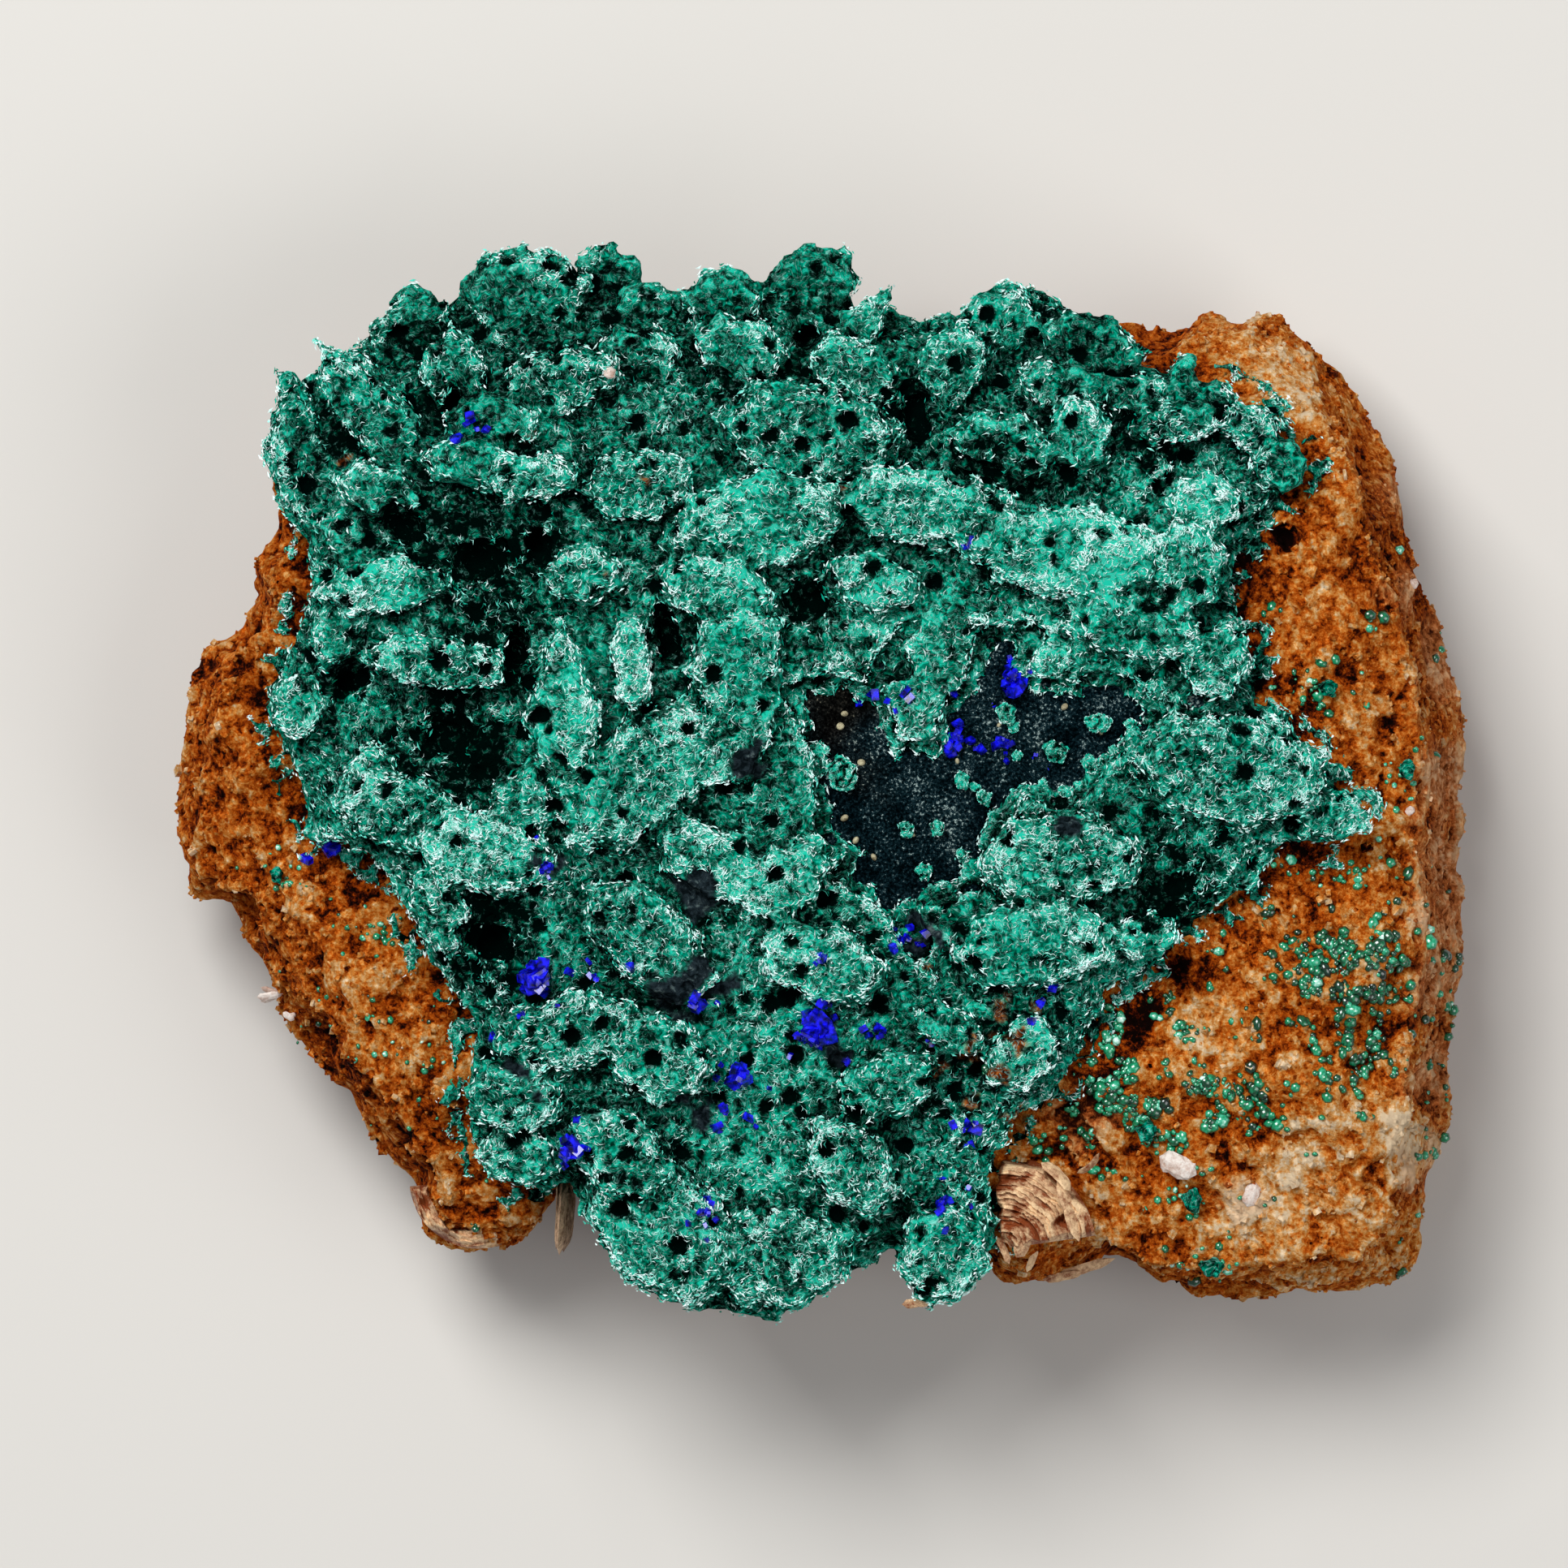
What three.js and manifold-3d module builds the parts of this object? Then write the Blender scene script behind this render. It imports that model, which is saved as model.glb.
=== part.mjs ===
import * as THREE from "three";
import { mergeVertices } from "three/addons/utils/BufferGeometryUtils.js";
import Module from "manifold-3d";

const wasm = await Module();
wasm.setup();

// Main sizes in mm. X is right and Y up across the display face, Z points out of it
const GAP = 0.3;
const ROCK_TOP = 24.2;
const ROCK_SUNKEN = 3;
const GIRTH_Z = 9;
const WALL_EAST = 3.2;
const WALL_ELSEWHERE = 2.2;
const FOOT_IN = 6;
const FOOT_ROUND = 2.2;
const FOOT_ROUND_Z = 3;
const ROCK_RELIEF = 1.1;
const WALL_RELIEF = 1.6;
const CRUST_TOP = 28.4;
const CRUST_EDGE = 1.5;
const CRUST_SKIRT = 8;
const CRUST_RELIEF = 0.35;
const CRUST_VALLEY = 0.8;
const CRUST_FLOOR = 1.2;
const BLADE_SPREAD = 1.14;
const OXIDE_TOP = 26.1;
const OXIDE_BASE = 18;
const ABOVE_ALL = 60;
const BROAD_FACET_STEP = 0.4;
const HIDDEN_FACET_STEP = 0.15;
const CUT_FACET_STEP = 0.2;
const SMALL_PIECE_STEP = 0.11;

// Widest outline of the rock, counterclockwise from the crest at the top right
const ROCK_OUTLINE = [
  [32.6, 34.0], [30.5, 33.0], [28.2, 33.7], [26.2, 32.7], [21.4, 33.4], [14.7, 32.2], [7.0, 32.4],
  [0.6, 32.6], [-6.4, 33.0], [-14.6, 33.0], [-21.7, 32.4], [-28.7, 30.4], [-34.0, 27.7],
  [-37.2, 25.4], [-39.4, 22.0], [-39.9, 17.6], [-41.4, 15.6], [-41.0, 13.4], [-42.5, 10.9],
  [-44.8, 9.4], [-45.8, 6.5], [-45.8, 3.5], [-46.8, 0.6], [-46.9, -1.8], [-46.3, -4.6],
  [-45.4, -8.2], [-42.8, -8.8], [-41.9, -11.6], [-39.9, -14.4], [-39.0, -16.8], [-37.4, -19.4],
  [-35.6, -21.6], [-34.0, -22.9], [-32.8, -25.5], [-31.2, -27.8], [-29.3, -29.3], [-29.2, -31.7],
  [-28.7, -33.4], [-27.2, -34.0], [-24.0, -34.0], [-21.6, -33.6], [-20.8, -32.4], [-19.1, -30.1],
  [-17.9, -29.3], [-16.9, -30.0], [-16.1, -31.7], [-14.6, -33.7], [-12.3, -35.4], [-7.6, -36.4],
  [-3.2, -37.2], [1.2, -35.0], [4.4, -32.8], [8.8, -34.0], [12.1, -34.6], [12.9, -36.1],
  [15.0, -36.5], [20.0, -35.5], [22.0, -34.6], [22.9, -35.5], [24.7, -37.0], [28.8, -37.4],
  [32.3, -37.4], [37.0, -37.1], [41.4, -36.4], [43.0, -35.0], [44.0, -31.8], [44.3, -28.7],
  [45.5, -25.6], [45.5, -22.3], [45.8, -19.4], [46.8, -14.1], [46.9, -11.1], [46.4, -6.4],
  [46.4, -1.2], [46.7, 3.5], [46.0, 7.8], [44.7, 12.9], [43.4, 15.6], [42.6, 19.4], [41.4, 23.8],
  [38.9, 28.2], [36.1, 31.1], [34.2, 32.6], [33.8, 33.6],
];

// Edge of the malachite crust, counterclockwise from its tip at the right
const CRUST_OUTLINE = [
  [39.9, -1.8], [36.7, 1.5], [34.6, 4.7], [31.2, 6.4], [30.5, 10.6], [29.3, 14.1], [30.8, 18.2],
  [34.2, 21.3], [34.9, 23.5], [34.4, 25.0], [31.1, 26.6], [26.4, 28.8], [22.9, 29.9], [21.6, 32.0],
  [15.8, 34.2], [12.1, 34.0], [7.2, 32.9], [4.4, 34.4], [2.8, 33.6], [1.2, 36.8], [-2.9, 36.4],
  [-4.1, 35.6], [-8.2, 36.2], [-10.4, 34.8], [-14.2, 35.4], [-21.1, 37.2], [-24.8, 36.2],
  [-26.6, 34.1], [-30.4, 33.6], [-31.4, 31.8], [-36.0, 29.8], [-39.0, 27.6], [-39.8, 24.2],
  [-38.7, 20.2], [-37.0, 18.2], [-36.3, 13.6], [-38.4, 8.2], [-39.9, 4.8], [-38.1, 1.8],
  [-36.8, -2.3], [-37.0, -4.0], [-33.0, -4.6], [-29.6, -8.8], [-28.1, -12.9], [-24.6, -17.4],
  [-25.1, -20.5], [-25.3, -24.0], [-24.2, -27.8], [-19.9, -29.7], [-18.2, -28.9], [-16.4, -31.1],
  [-13.8, -34.6], [-11.7, -37.2], [-8.8, -38.2], [-3.2, -38.9], [0.0, -36.5], [4.1, -34.8],
  [5.3, -33.2], [6.2, -35.2], [7.9, -37.9], [9.8, -37.0], [12.5, -33.4], [12.1, -28.2],
  [14.1, -24.0], [16.5, -23.0], [19.4, -17.6], [20.8, -15.0], [25.4, -12.0], [26.0, -10.0],
  [31.1, -7.8], [32.9, -4.6], [37.0, -4.7], [39.9, -3.5],
];

// Hole in the crust that shows the blue-black oxide
const WINDOW = [
  [-3.2, 6.9], [-0.7, 1.5], [-0.3, -4.1], [1.7, -5.3], [0.1, -7.5], [2.4, -8.2], [5.0, -10.0],
  [5.8, -12.2], [7.1, -13.6], [8.3, -12.7], [7.2, -9.4], [12.1, -7.7], [11.5, -5.9], [14.7, -1.5],
  [17.0, -2.3], [19.7, -1.2], [20.6, 0.3], [22.9, 3.0], [25.8, 4.7], [25.6, 5.7], [20.6, 8.1],
  [18.2, 7.2], [14.8, 7.9], [16.7, 10.6], [15.9, 11.3], [11.5, 11.3], [10.4, 7.0], [9.1, 6.2],
  [8.2, 3.0], [5.9, 3.0], [4.4, 6.5], [7.1, 7.6], [6.2, 9.4], [8.1, 11.8], [5.9, 11.4], [3.0, 7.2],
  [1.2, 7.7],
];

// Edge of the oxide film, which runs in under the crust all round the window
const OXIDE_CENTRE = [10.5, 0.5];
const OXIDE_OUTLINE = [
  [28.4, 5.2], [21.0, 10.6], [16.0, 13.8], [10.0, 12.6], [4.5, 14.0], [-1.0, 10.2], [-5.4, 7.6],
  [-3.4, 0.5], [-2.6, -8.8], [3.4, -12.2], [7.0, -16.2], [10.6, -12.6], [14.6, -8.6], [16.0, -4.8],
  [22.0, -3.0], [25.4, 2.0],
];

// Blades of barite under their malachite skin, each a row of
// x, y, length, width, thickness, turn, tilt, rise above the crust, pointed or round
const BLADES = [
  [-38.0, 23.0, 8.8, 3.9, 3.2, 95, 25, 0.4, 0],
  [-37.9, 27.0, 5.0, 1.9, 2.0, 107, 10, 1.4, 0],
  [-31.9, 26.1, 12.6, 4.4, 3.4, -52, 12, 1.8, 0],
  [-29.6, 32.4, 6.7, 4.2, 2.6, 25, 28, -0.4, 0],
  [-29.4, 34.5, 2.9, 2.2, 2.2, 5, 10, -1.6, 0],
  [-27.7, 28.9, 4.6, 1.8, 2.6, 97, 0, 2.1, 0],
  [-25.5, 29.6, 5.7, 2.5, 3.0, -70, 5, 2.4, 0],
  [-21.1, 34.9, 8.9, 6.8, 3.6, -6, 14, 1.4, 0],
  [-15.4, 35.7, 5.0, 6.1, 1.6, 10, 22, -1.4, 0],
  [-18.7, 28.7, 8.9, 4.3, 3.0, 12, 18, 1.4, 0],
  [-12.3, 34.0, 5.4, 3.4, 2.6, 0, 10, -0.4, 0],
  [-12.9, 30.5, 5.6, 4.3, 2.6, -10, 14, 0.4, 0],
  [-10.8, 26.4, 4.3, 1.5, 1.8, 8, 0, 1.9, 0],
  [-23.5, 25.8, 6.7, 3.3, 2.6, -4, 6, 1.2, 0],
  [-24.9, 22.5, 7.3, 3.3, 2.8, -8, -14, 1.3, 0],
  [-20.5, 21.7, 6.5, 2.9, 2.6, 4, 16, 1.6, 0],
  [-6.8, 34.4, 5.7, 4.9, 3.4, -8, 16, 1.2, 0],
  [-0.7, 35.5, 6.9, 5.4, 3.6, 28, 18, 1.0, 0],
  [3.3, 33.1, 6.4, 3.2, 2.2, 52, 6, 1.2, 1],
  [2.4, 29.6, 6.9, 4.2, 3.4, -24, 8, 2.0, 0],
  [-5.7, 31.0, 6.6, 4.3, 3.0, -20, 12, 1.5, 0],
  [-0.6, 24.9, 12.9, 7.3, 3.4, -8, 16, 1.8, 0],
  [-4.4, 18.5, 13.2, 6.6, 3.0, 12, 16, 1.7, 0],
  [7.7, 19.6, 12.6, 5.6, 2.8, -6, 16, 2.0, 0],
  [-12.9, 21.1, 7.7, 4.9, 2.8, 5, 14, 1.2, 0],
  [9.4, 29.6, 6.1, 4.5, 3.2, 58, 12, 1.3, 0],
  [12.5, 32.6, 6.6, 4.9, 3.6, 42, 12, 1.2, 0],
  [15.6, 33.5, 5.4, 3.5, 2.8, -16, 10, 0.4, 0],
  [19.7, 31.1, 7.7, 4.6, 2.8, -20, 10, 1.0, 0],
  [17.7, 28.3, 6.6, 3.6, 2.6, -10, 12, 1.9, 0],
  [23.0, 27.7, 5.9, 2.5, 2.2, 0, 6, 1.2, 0],
  [26.2, 28.7, 3.8, 2.0, 2.4, 80, 0, 1.6, 0],
  [28.2, 27.2, 3.4, 2.8, 2.4, 0, 8, 1.1, 0],
  [25.8, 25.7, 6.6, 2.7, 2.6, 8, 10, 1.8, 0],
  [13.2, 23.9, 7.7, 5.0, 2.8, -14, 14, 1.6, 0],
  [18.7, 24.6, 4.9, 4.1, 2.6, 90, 6, 1.4, 0],
  [30.8, 25.5, 4.6, 3.0, 2.6, -22, 8, 1.3, 0],
  [33.2, 22.6, 3.8, 3.6, 2.6, 90, 6, 1.3, 0],
  [27.6, 19.9, 4.9, 3.6, 2.4, 0, 10, 1.4, 0],
  [17.6, 16.3, 14.4, 6.1, 2.8, -5, 10, 1.6, 0],
  [26.4, 15.2, 6.6, 4.9, 2.6, 85, 8, 1.3, 0],
  [22.9, 11.0, 9.7, 4.6, 2.4, -10, 8, 1.1, 0],
  [28.6, 8.6, 5.4, 4.2, 2.4, 60, 6, 1.1, 0],
  [29.4, 0.6, 13.4, 7.6, 2.6, -6, 6, 1.2, 0],
  [36.9, -2.6, 5.4, 3.4, 2.2, -4, 6, 0.9, 0],
  [17.4, -5.8, 10.4, 6.2, 2.6, 0, 8, 1.2, 0],
  [15.4, -11.9, 10.8, 6.0, 2.6, 6, 12, 1.2, 0],
  [23.6, -11.2, 4.2, 3.0, 2.4, 10, 10, 1.3, 0],
  [-31.1, 14.0, 9.1, 3.8, 2.8, 8, 14, 1.5, 0],
  [-34.6, 11.4, 6.6, 3.6, 2.6, 72, 8, 0.9, 0],
  [-27.4, 8.4, 10.3, 3.4, 2.8, -5, 12, 1.6, 0],
  [-18.4, 5.7, 10.0, 5.7, 2.6, 92, -12, 2.2, 1],
  [-13.5, 8.2, 6.6, 2.6, 2.8, 94, 6, 1.9, 0],
  [-17.2, 14.8, 5.6, 3.9, 2.8, 0, 12, 1.6, 0],
  [-7.3, 13.6, 8.2, 4.9, 2.6, -20, 12, 1.2, 0],
  [-6.1, 8.7, 7.7, 5.9, 2.8, 58, 8, 1.6, 0],
  [-12.6, 0.3, 13.2, 7.2, 2.8, 42, 12, 1.5, 0],
  [-29.9, -2.3, 9.1, 5.4, 2.6, -8, 12, 1.3, 0],
  [-37.4, 5.4, 4.5, 3.6, 2.6, 80, 6, 0.9, 0],
  [-24.0, -5.3, 9.7, 5.5, 2.6, -10, 12, 1.3, 0],
  [-18.0, -18.1, 10.1, 5.4, 2.8, 12, 18, 1.6, 0],
  [-12.3, -11.6, 10.9, 6.1, 2.8, -44, 14, 1.6, 0],
  [-11.6, -19.9, 7.7, 5.9, 2.8, -20, 12, 1.4, 0],
  [-22.0, -22.8, 6.4, 4.9, 2.6, -10, 10, 1.1, 0],
  [-21.7, -27.0, 5.4, 4.1, 2.6, 0, 8, 0.6, 0],
  [-11.6, -32.0, 12.6, 8.6, 3.6, -50, 10, 1.3, 0],
  [-2.8, -34.2, 9.6, 7.3, 3.2, 0, 10, 1.1, 0],
  [8.9, -34.0, 7.2, 6.0, 3.0, 60, 10, 1.1, 0],
  [2.4, -27.6, 7.2, 5.4, 2.8, -50, 10, 1.4, 0],
  [5.6, -25.9, 4.0, 2.0, 2.2, -40, 4, 2.2, 0],
  [9.3, -17.9, 4.9, 2.8, 2.2, -30, 6, 1.7, 0],
  [-14.2, -26.9, 7.7, 5.3, 2.8, -40, 10, 1.3, 0],
  [0.0, -13.2, 9.1, 5.4, 2.6, -18, 10, 1.1, 0],
  [-6.2, 3.2, 8.6, 5.2, 2.8, 60, 8, 1.2, 0],
  [-7.6, -6.0, 8.6, 4.8, 2.6, -30, 10, 1.2, 0],
  [-20.4, -1.0, 7.4, 4.6, 2.6, 30, 8, 1.1, 0],
  [-32.4, -0.6, 6.0, 4.0, 2.4, 70, 6, 0.9, 0],
  [4.9, -22.0, 7.2, 4.4, 2.6, 20, 8, 1.2, 0],
  [-27.2, -9.6, 6.0, 3.6, 2.6, -60, 8, 1.0, 0],
  [-31.6, 20.6, 6.6, 3.8, 2.6, -20, 8, 1.2, 0],
  [14.6, -19.6, 5.8, 4.0, 2.4, 40, 8, 1.0, 0],
  [3.6, 14.2, 6.6, 3.8, 2.4, -10, 8, 1.0, 0],
  [-2.4, -7.4, 6.6, 4.4, 2.4, 40, 8, 1.1, 0],
];

// Black gaps, bowls and pits between the blades, each a row of x, y, length, width, depth, turn
const HOLLOWS = [
  [-35.6, 25.2, 8.8, 1.2, 7, -62],
  [-28.2, 27.0, 7.0, 1.5, 7, -62],
  [7.0, 26.4, 6.5, 3.0, 9, 95],
  [-0.9, 32.0, 3.5, 2.7, 6, 40],
  [-10.9, 10.2, 7.0, 2.5, 8, -78],
  [-30.2, 18.2, 5.6, 3.9, 7, -20],
  [-24.6, 15.8, 7.0, 6.5, 5, 0],
  [-20.3, 16.8, 3.9, 3.5, 7, 90],
  [-33.8, 7.3, 4.6, 3.5, 6, 30],
  [-27.2, 3.2, 7.6, 5.9, 4, 0],
  [-23.8, -11.7, 5.7, 4.6, 5, -25],
  [26.0, -7.6, 6.2, 3.9, 6, 5],
  [23.6, 22.8, 5.9, 3.5, 6, 0],
  [-0.8, 12.8, 5.6, 5.6, 4, 0],
  [-1.1, -27.0, 1.5, 2.6, 6, 0],
  [-5.4, -27.2, 2.6, 2.3, 6, 0],
  [-10.8, 24.7, 3.3, 2.0, 6, 0],
  [12.6, 22.0, 8.2, 1.1, 5, -22],
  [-21.7, 9.4, 4.5, 2.9, 6, 80],
];

// Pits and notches in the bare rock, each a row of x, y, length, width, depth, turn
const ROCK_HOLLOWS = [
  [33.5, 17.3, 2.4, 3.2, 2.4, 20],
  [40.6, 4.1, 2.6, 1.8, 2.2, 50],
  [-43.6, 8.2, 4.6, 1.7, 2.4, 8],
  [-35.2, -20.6, 3.2, 2.0, 3.2, -35],
  [17.2, -26.9, 5.2, 1.1, 2.6, -58],
];

// Azurite groups, each a row of x, y, length, width, number of crystals
const AZURITE = [
  [-26.4, 24.4, 1.0, 0.8, 1],
  [-34.7, -5.0, 1.6, 2.0, 4],
  [-20.2, -6.8, 1.5, 1.4, 3],
  [-21.4, -14.5, 2.6, 2.9, 4],
  [-16.5, -14.5, 1.5, 0.9, 2],
  [-9.6, -16.0, 2.6, 1.7, 4],
  [-17.2, -26.5, 1.8, 2.2, 4],
  [-8.8, -31.7, 1.4, 2.0, 3],
  [-7.3, -24.3, 1.4, 2.6, 4],
  [-5.2, -21.4, 1.8, 3.0, 4],
  [0.9, -18.2, 2.4, 3.8, 4],
  [3.8, -18.3, 1.6, 1.1, 3],
  [-1.8, -19.1, 1.1, 2.3, 3],
  [6.8, -11.2, 1.1, 1.9, 3],
  [3.7, 5.9, 0.9, 0.8, 1],
  [13.3, 6.7, 1.9, 2.1, 4],
  [9.5, 2.6, 1.4, 1.3, 3],
  [12.5, 2.5, 1.7, 1.0, 3],
  [15.2, -16.4, 2.0, 1.1, 2],
  [10.9, -25.2, 0.9, 1.8, 2],
  [8.7, -30.8, 1.2, 1.8, 2],
];

// Malachite tufts on the oxide, each a row of x, y, length, width, height
const TUFTS = [
  [1.6, 0.3, 2.6, 3.5, 2.0],
  [13.4, 4.7, 1.8, 2.0, 1.4],
  [16.9, 1.9, 2.3, 2.1, 1.5],
  [20.0, 4.0, 2.8, 1.5, 1.5],
  [19.4, 1.0, 1.5, 1.9, 1.4],
  [17.6, -0.9, 1.4, 1.4, 1.2],
  [10.2, -0.1, 1.3, 1.8, 1.3],
  [11.8, -1.4, 1.4, 1.6, 1.2],
  [6.2, -3.6, 1.5, 1.6, 1.3],
  [8.4, -3.5, 1.5, 1.6, 1.3],
  [10.2, -5.4, 1.3, 1.1, 1.1],
  [7.5, -6.7, 1.5, 1.7, 1.3],
];

// Malachite balls on the bare rock, each a row of x, y, length, width, height
const BALLS = [
  [26.8, -30.4, 1.8, 2.5, 1.4],
  [23.5, -25.4, 2.0, 2.1, 1.3],
  [28.2, -35.2, 2.3, 1.9, 1.3],
  [36.5, 6.5, 1.9, 1.6, 1.2],
  [-39.1, -7.0, 1.2, 1.9, 1.1],
  [42.2, 0.6, 1.5, 2.1, 1.2],
];

const BLADE_SIDES = 7;
const POINTED_WIDTH = 0.8;
const SIDES_OF_CRYSTAL = 5;
const SIDES_OF_BALL = 7;
const GOLDEN_ANGLE = 2.4;

// A waving height between -1 and 1, for rough ground
function rough(x, y) {
  const broad = Math.sin(0.31 * x + 1.3 * Math.sin(0.23 * y)) * Math.cos(0.37 * y - 0.4 * x);
  const fine = Math.sin(1.13 * x - 0.7 * y + 2) * Math.cos(0.9 * y + 0.53 * x);
  return 0.6 * broad + 0.4 * fine;
}

// A height between -1 and 1 with sharp crests, for broken rock
function craggy(a, b) {
  const first = Math.abs(Math.sin(0.83 * a + 0.4 * b + 1));
  const second = Math.abs(Math.sin(1.9 * b - 0.57 * a));
  return 1 - 1.3 * first - 0.7 * second;
}

// How far a value has passed a limit, never below nought
function past(value, limit) {
  return Math.max(0, value - limit);
}

// Height of the rock's upper face
function rockTop(x, y) {
  const north = 0.9 * past(y, 22);
  const west = 0.42 * past(-x, 30);
  const southwest = 0.4 * past((-x - y) * Math.SQRT1_2, 29);
  const east = 0.45 * past(x, 38);
  const south = 0.35 * past(-y, 24);
  const inner = 1 - ((x + 21) / 19) ** 2 - ((y - 3) / 26) ** 2;
  const sunken = ROCK_SUNKEN * Math.min(1, past(2 * inner, 0));
  return ROCK_TOP - north - west - southwest - east - south - sunken;
}

// Height of the crust between its blades
function crustTop(x, y) {
  const north = 11 * (past(y, 14) / 24) ** 2;
  const west = 5.5 * (past(-x, 16) / 24) ** 2;
  const south = 5 * (past(-y, 20) / 18) ** 2;
  const east = 3.2 * (past(x, 14) / 25) ** 2;
  return CRUST_TOP - north - west - south - east;
}

// A closed surface through rings of equal count, with a single point at each end
function ringSurface(first, rings, last) {
  const count = rings[0].length;
  const points = [first, ...rings.flat(), last];
  const faces = [];
  const end = points.length - 1;
  const foot = 1 + (rings.length - 1) * count;
  for (let i = 0; i < count; i += 1) {
    const next = (i + 1) % count;
    faces.push(0, 1 + i, 1 + next);
    faces.push(end, foot + next, foot + i);
    for (let r = 0; r < rings.length - 1; r += 1) {
      const upper = 1 + r * count;
      const lower = upper + count;
      faces.push(upper + i, lower + i, lower + next);
      faces.push(upper + i, lower + next, upper + next);
    }
  }
  const geometry = new THREE.BufferGeometry();
  geometry.setAttribute("position", new THREE.Float32BufferAttribute(points.flat(), 3));
  geometry.setIndex(faces);
  return geometry;
}

// Turns a closed geometry into a solid for joining and cutting
function solid(geometry) {
  const plain = new THREE.BufferGeometry();
  plain.setAttribute("position", geometry.getAttribute("position").clone());
  if (geometry.index) plain.setIndex(geometry.index.clone());
  const merged = mergeVertices(plain, 1e-4);
  return new wasm.Manifold(
    new wasm.Mesh({
      numProp: 3,
      vertProperties: new Float32Array(merged.getAttribute("position").array),
      triVerts: new Uint32Array(merged.index.array),
    }),
  );
}

// The geometry of a solid, with flat facets
function facets(body) {
  const mesh = body.getMesh();
  const geometry = new THREE.BufferGeometry();
  geometry.setAttribute("position", new THREE.Float32BufferAttribute(mesh.vertProperties, 3));
  geometry.setIndex(Array.from(mesh.triVerts));
  const flat = geometry.toNonIndexed();
  flat.computeVertexNormals();
  return flat;
}

// The same solid with facets that hardly differ joined
function plainer(body, step) {
  return body.asOriginal().simplify(step);
}

// The largest connected part of a solid
function largest(body) {
  const parts = body.decompose();
  parts.sort((a, b) => b.volume() - a.volume());
  return parts[0];
}

function placed(body, position, angles = [0, 0, 0]) {
  const turned = new THREE.Euler(...angles.map(THREE.MathUtils.degToRad), "ZYX");
  const matrix = new THREE.Matrix4().makeRotationFromEuler(turned);
  matrix.setPosition(...position);
  return body.transform(matrix.elements);
}

// Unit direction that points out of a counterclockwise outline at one of its points
function outward(outline, index) {
  const before = outline[(index + outline.length - 1) % outline.length];
  const after = outline[(index + 1) % outline.length];
  const along = [after[0] - before[0], after[1] - before[1]];
  const length = Math.hypot(...along);
  return [along[1] / length, -along[0] / length];
}

// The rock, or with a margin the space that its neighbours keep clear of
function rockBody(margin) {
  const inward = ([x, y], inset) => {
    const scale = 1 - inset / Math.hypot(x, y);
    return [x * scale, y * scale];
  };
  const beside = (point, index, inset) => {
    const [px, py] = inward(point, inset);
    const [ox, oy] = outward(ROCK_OUTLINE, index);
    return [px + margin * ox, py + margin * oy];
  };
  const wall = ([x]) => (x > 30 ? WALL_EAST : WALL_ELSEWHERE);
  const shelf = (extra, relief) =>
    ROCK_OUTLINE.map((point, i) => {
      const [px, py] = inward(point, wall(point) + extra + (i % 2) * 0.2 * extra);
      return [px, py, rockTop(px, py) + relief * craggy(0.4 * px, 0.4 * py) + margin];
    });
  const side = (inset, z, wave) =>
    ROCK_OUTLINE.map((point, i) => {
      const [px, py] = beside(point, i, inset + wave * (0.6 + craggy(i, z)));
      return [px, py, z + wave * craggy(z, i)];
    });
  const foot = ROCK_OUTLINE.map((point, i) => [...beside(point, i, FOOT_IN), -margin]);
  const rings = [
    shelf(16, 0.3 * ROCK_RELIEF),
    shelf(8, ROCK_RELIEF),
    shelf(3, ROCK_RELIEF),
    shelf(0, 0.6 * ROCK_RELIEF),
    side(1, 14, WALL_RELIEF),
    ROCK_OUTLINE.map((point, i) => [...beside(point, i, 0), GIRTH_Z]),
    side(FOOT_ROUND, FOOT_ROUND_Z, 0.7 * WALL_RELIEF),
    foot,
  ];
  const body = solid(ringSurface([0, 0, ROCK_TOP + margin], rings, [0, 0, -margin]));
  const pits = ROCK_HOLLOWS.map(([x, y, length, width, depth, turn]) =>
    placed(hollow(length, width, depth), [x, y, rockTop(x, y) + margin], [0, 0, turn]),
  );
  return body.subtract(wasm.Manifold.union(pits));
}

// The body of the crust, before its blades
function crustMound() {
  const valley = (x, y) => crustTop(x, y) - CRUST_VALLEY;
  const ring = (share, drop, relief = CRUST_RELIEF) =>
    CRUST_OUTLINE.map(([x, y]) => {
      const [px, py] = [x * share, y * share];
      return [px, py, valley(px, py) + relief * rough(2 * px, 2 * py) - drop];
    });
  const rings = [ring(0.45, 0), ring(0.76, 0), ring(0.93, 0.2)];
  rings.push(ring(1, CRUST_EDGE), ring(0.975, CRUST_SKIRT));
  return solid(ringSurface([0, 0, CRUST_TOP], rings, [0, 0, CRUST_TOP - CRUST_SKIRT]));
}

// Rings of a thick blade lying flat, rounded all round or drawn to a point at its +X end
function bladeRing(length, width, pointed, share, z) {
  const across = (i) => {
    const angle = (2 * Math.PI * i) / BLADE_SIDES;
    if (!pointed) return [Math.cos(angle), Math.sin(angle)];
    const narrowing = POINTED_WIDTH - 0.5 * Math.cos(angle);
    return [Math.cos(angle), Math.sin(angle) * narrowing];
  };
  return Array.from({ length: BLADE_SIDES }, (_, i) => {
    const [u, v] = across(pointed ? i : i + 0.5);
    return [0.5 * length * share * u, 0.5 * width * share * v, z];
  });
}

// A blade whose back is buried in the crust
function blade(length, width, thickness, pointed) {
  const half = 0.5 * thickness;
  const brow = bladeRing(length, width, pointed, 0.78, 0.86 * half);
  const edge = bladeRing(length, width, pointed, 1, 0);
  return solid(ringSurface([0, 0, half], [brow, edge], [0, 0, -1.6 * half]));
}

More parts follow.
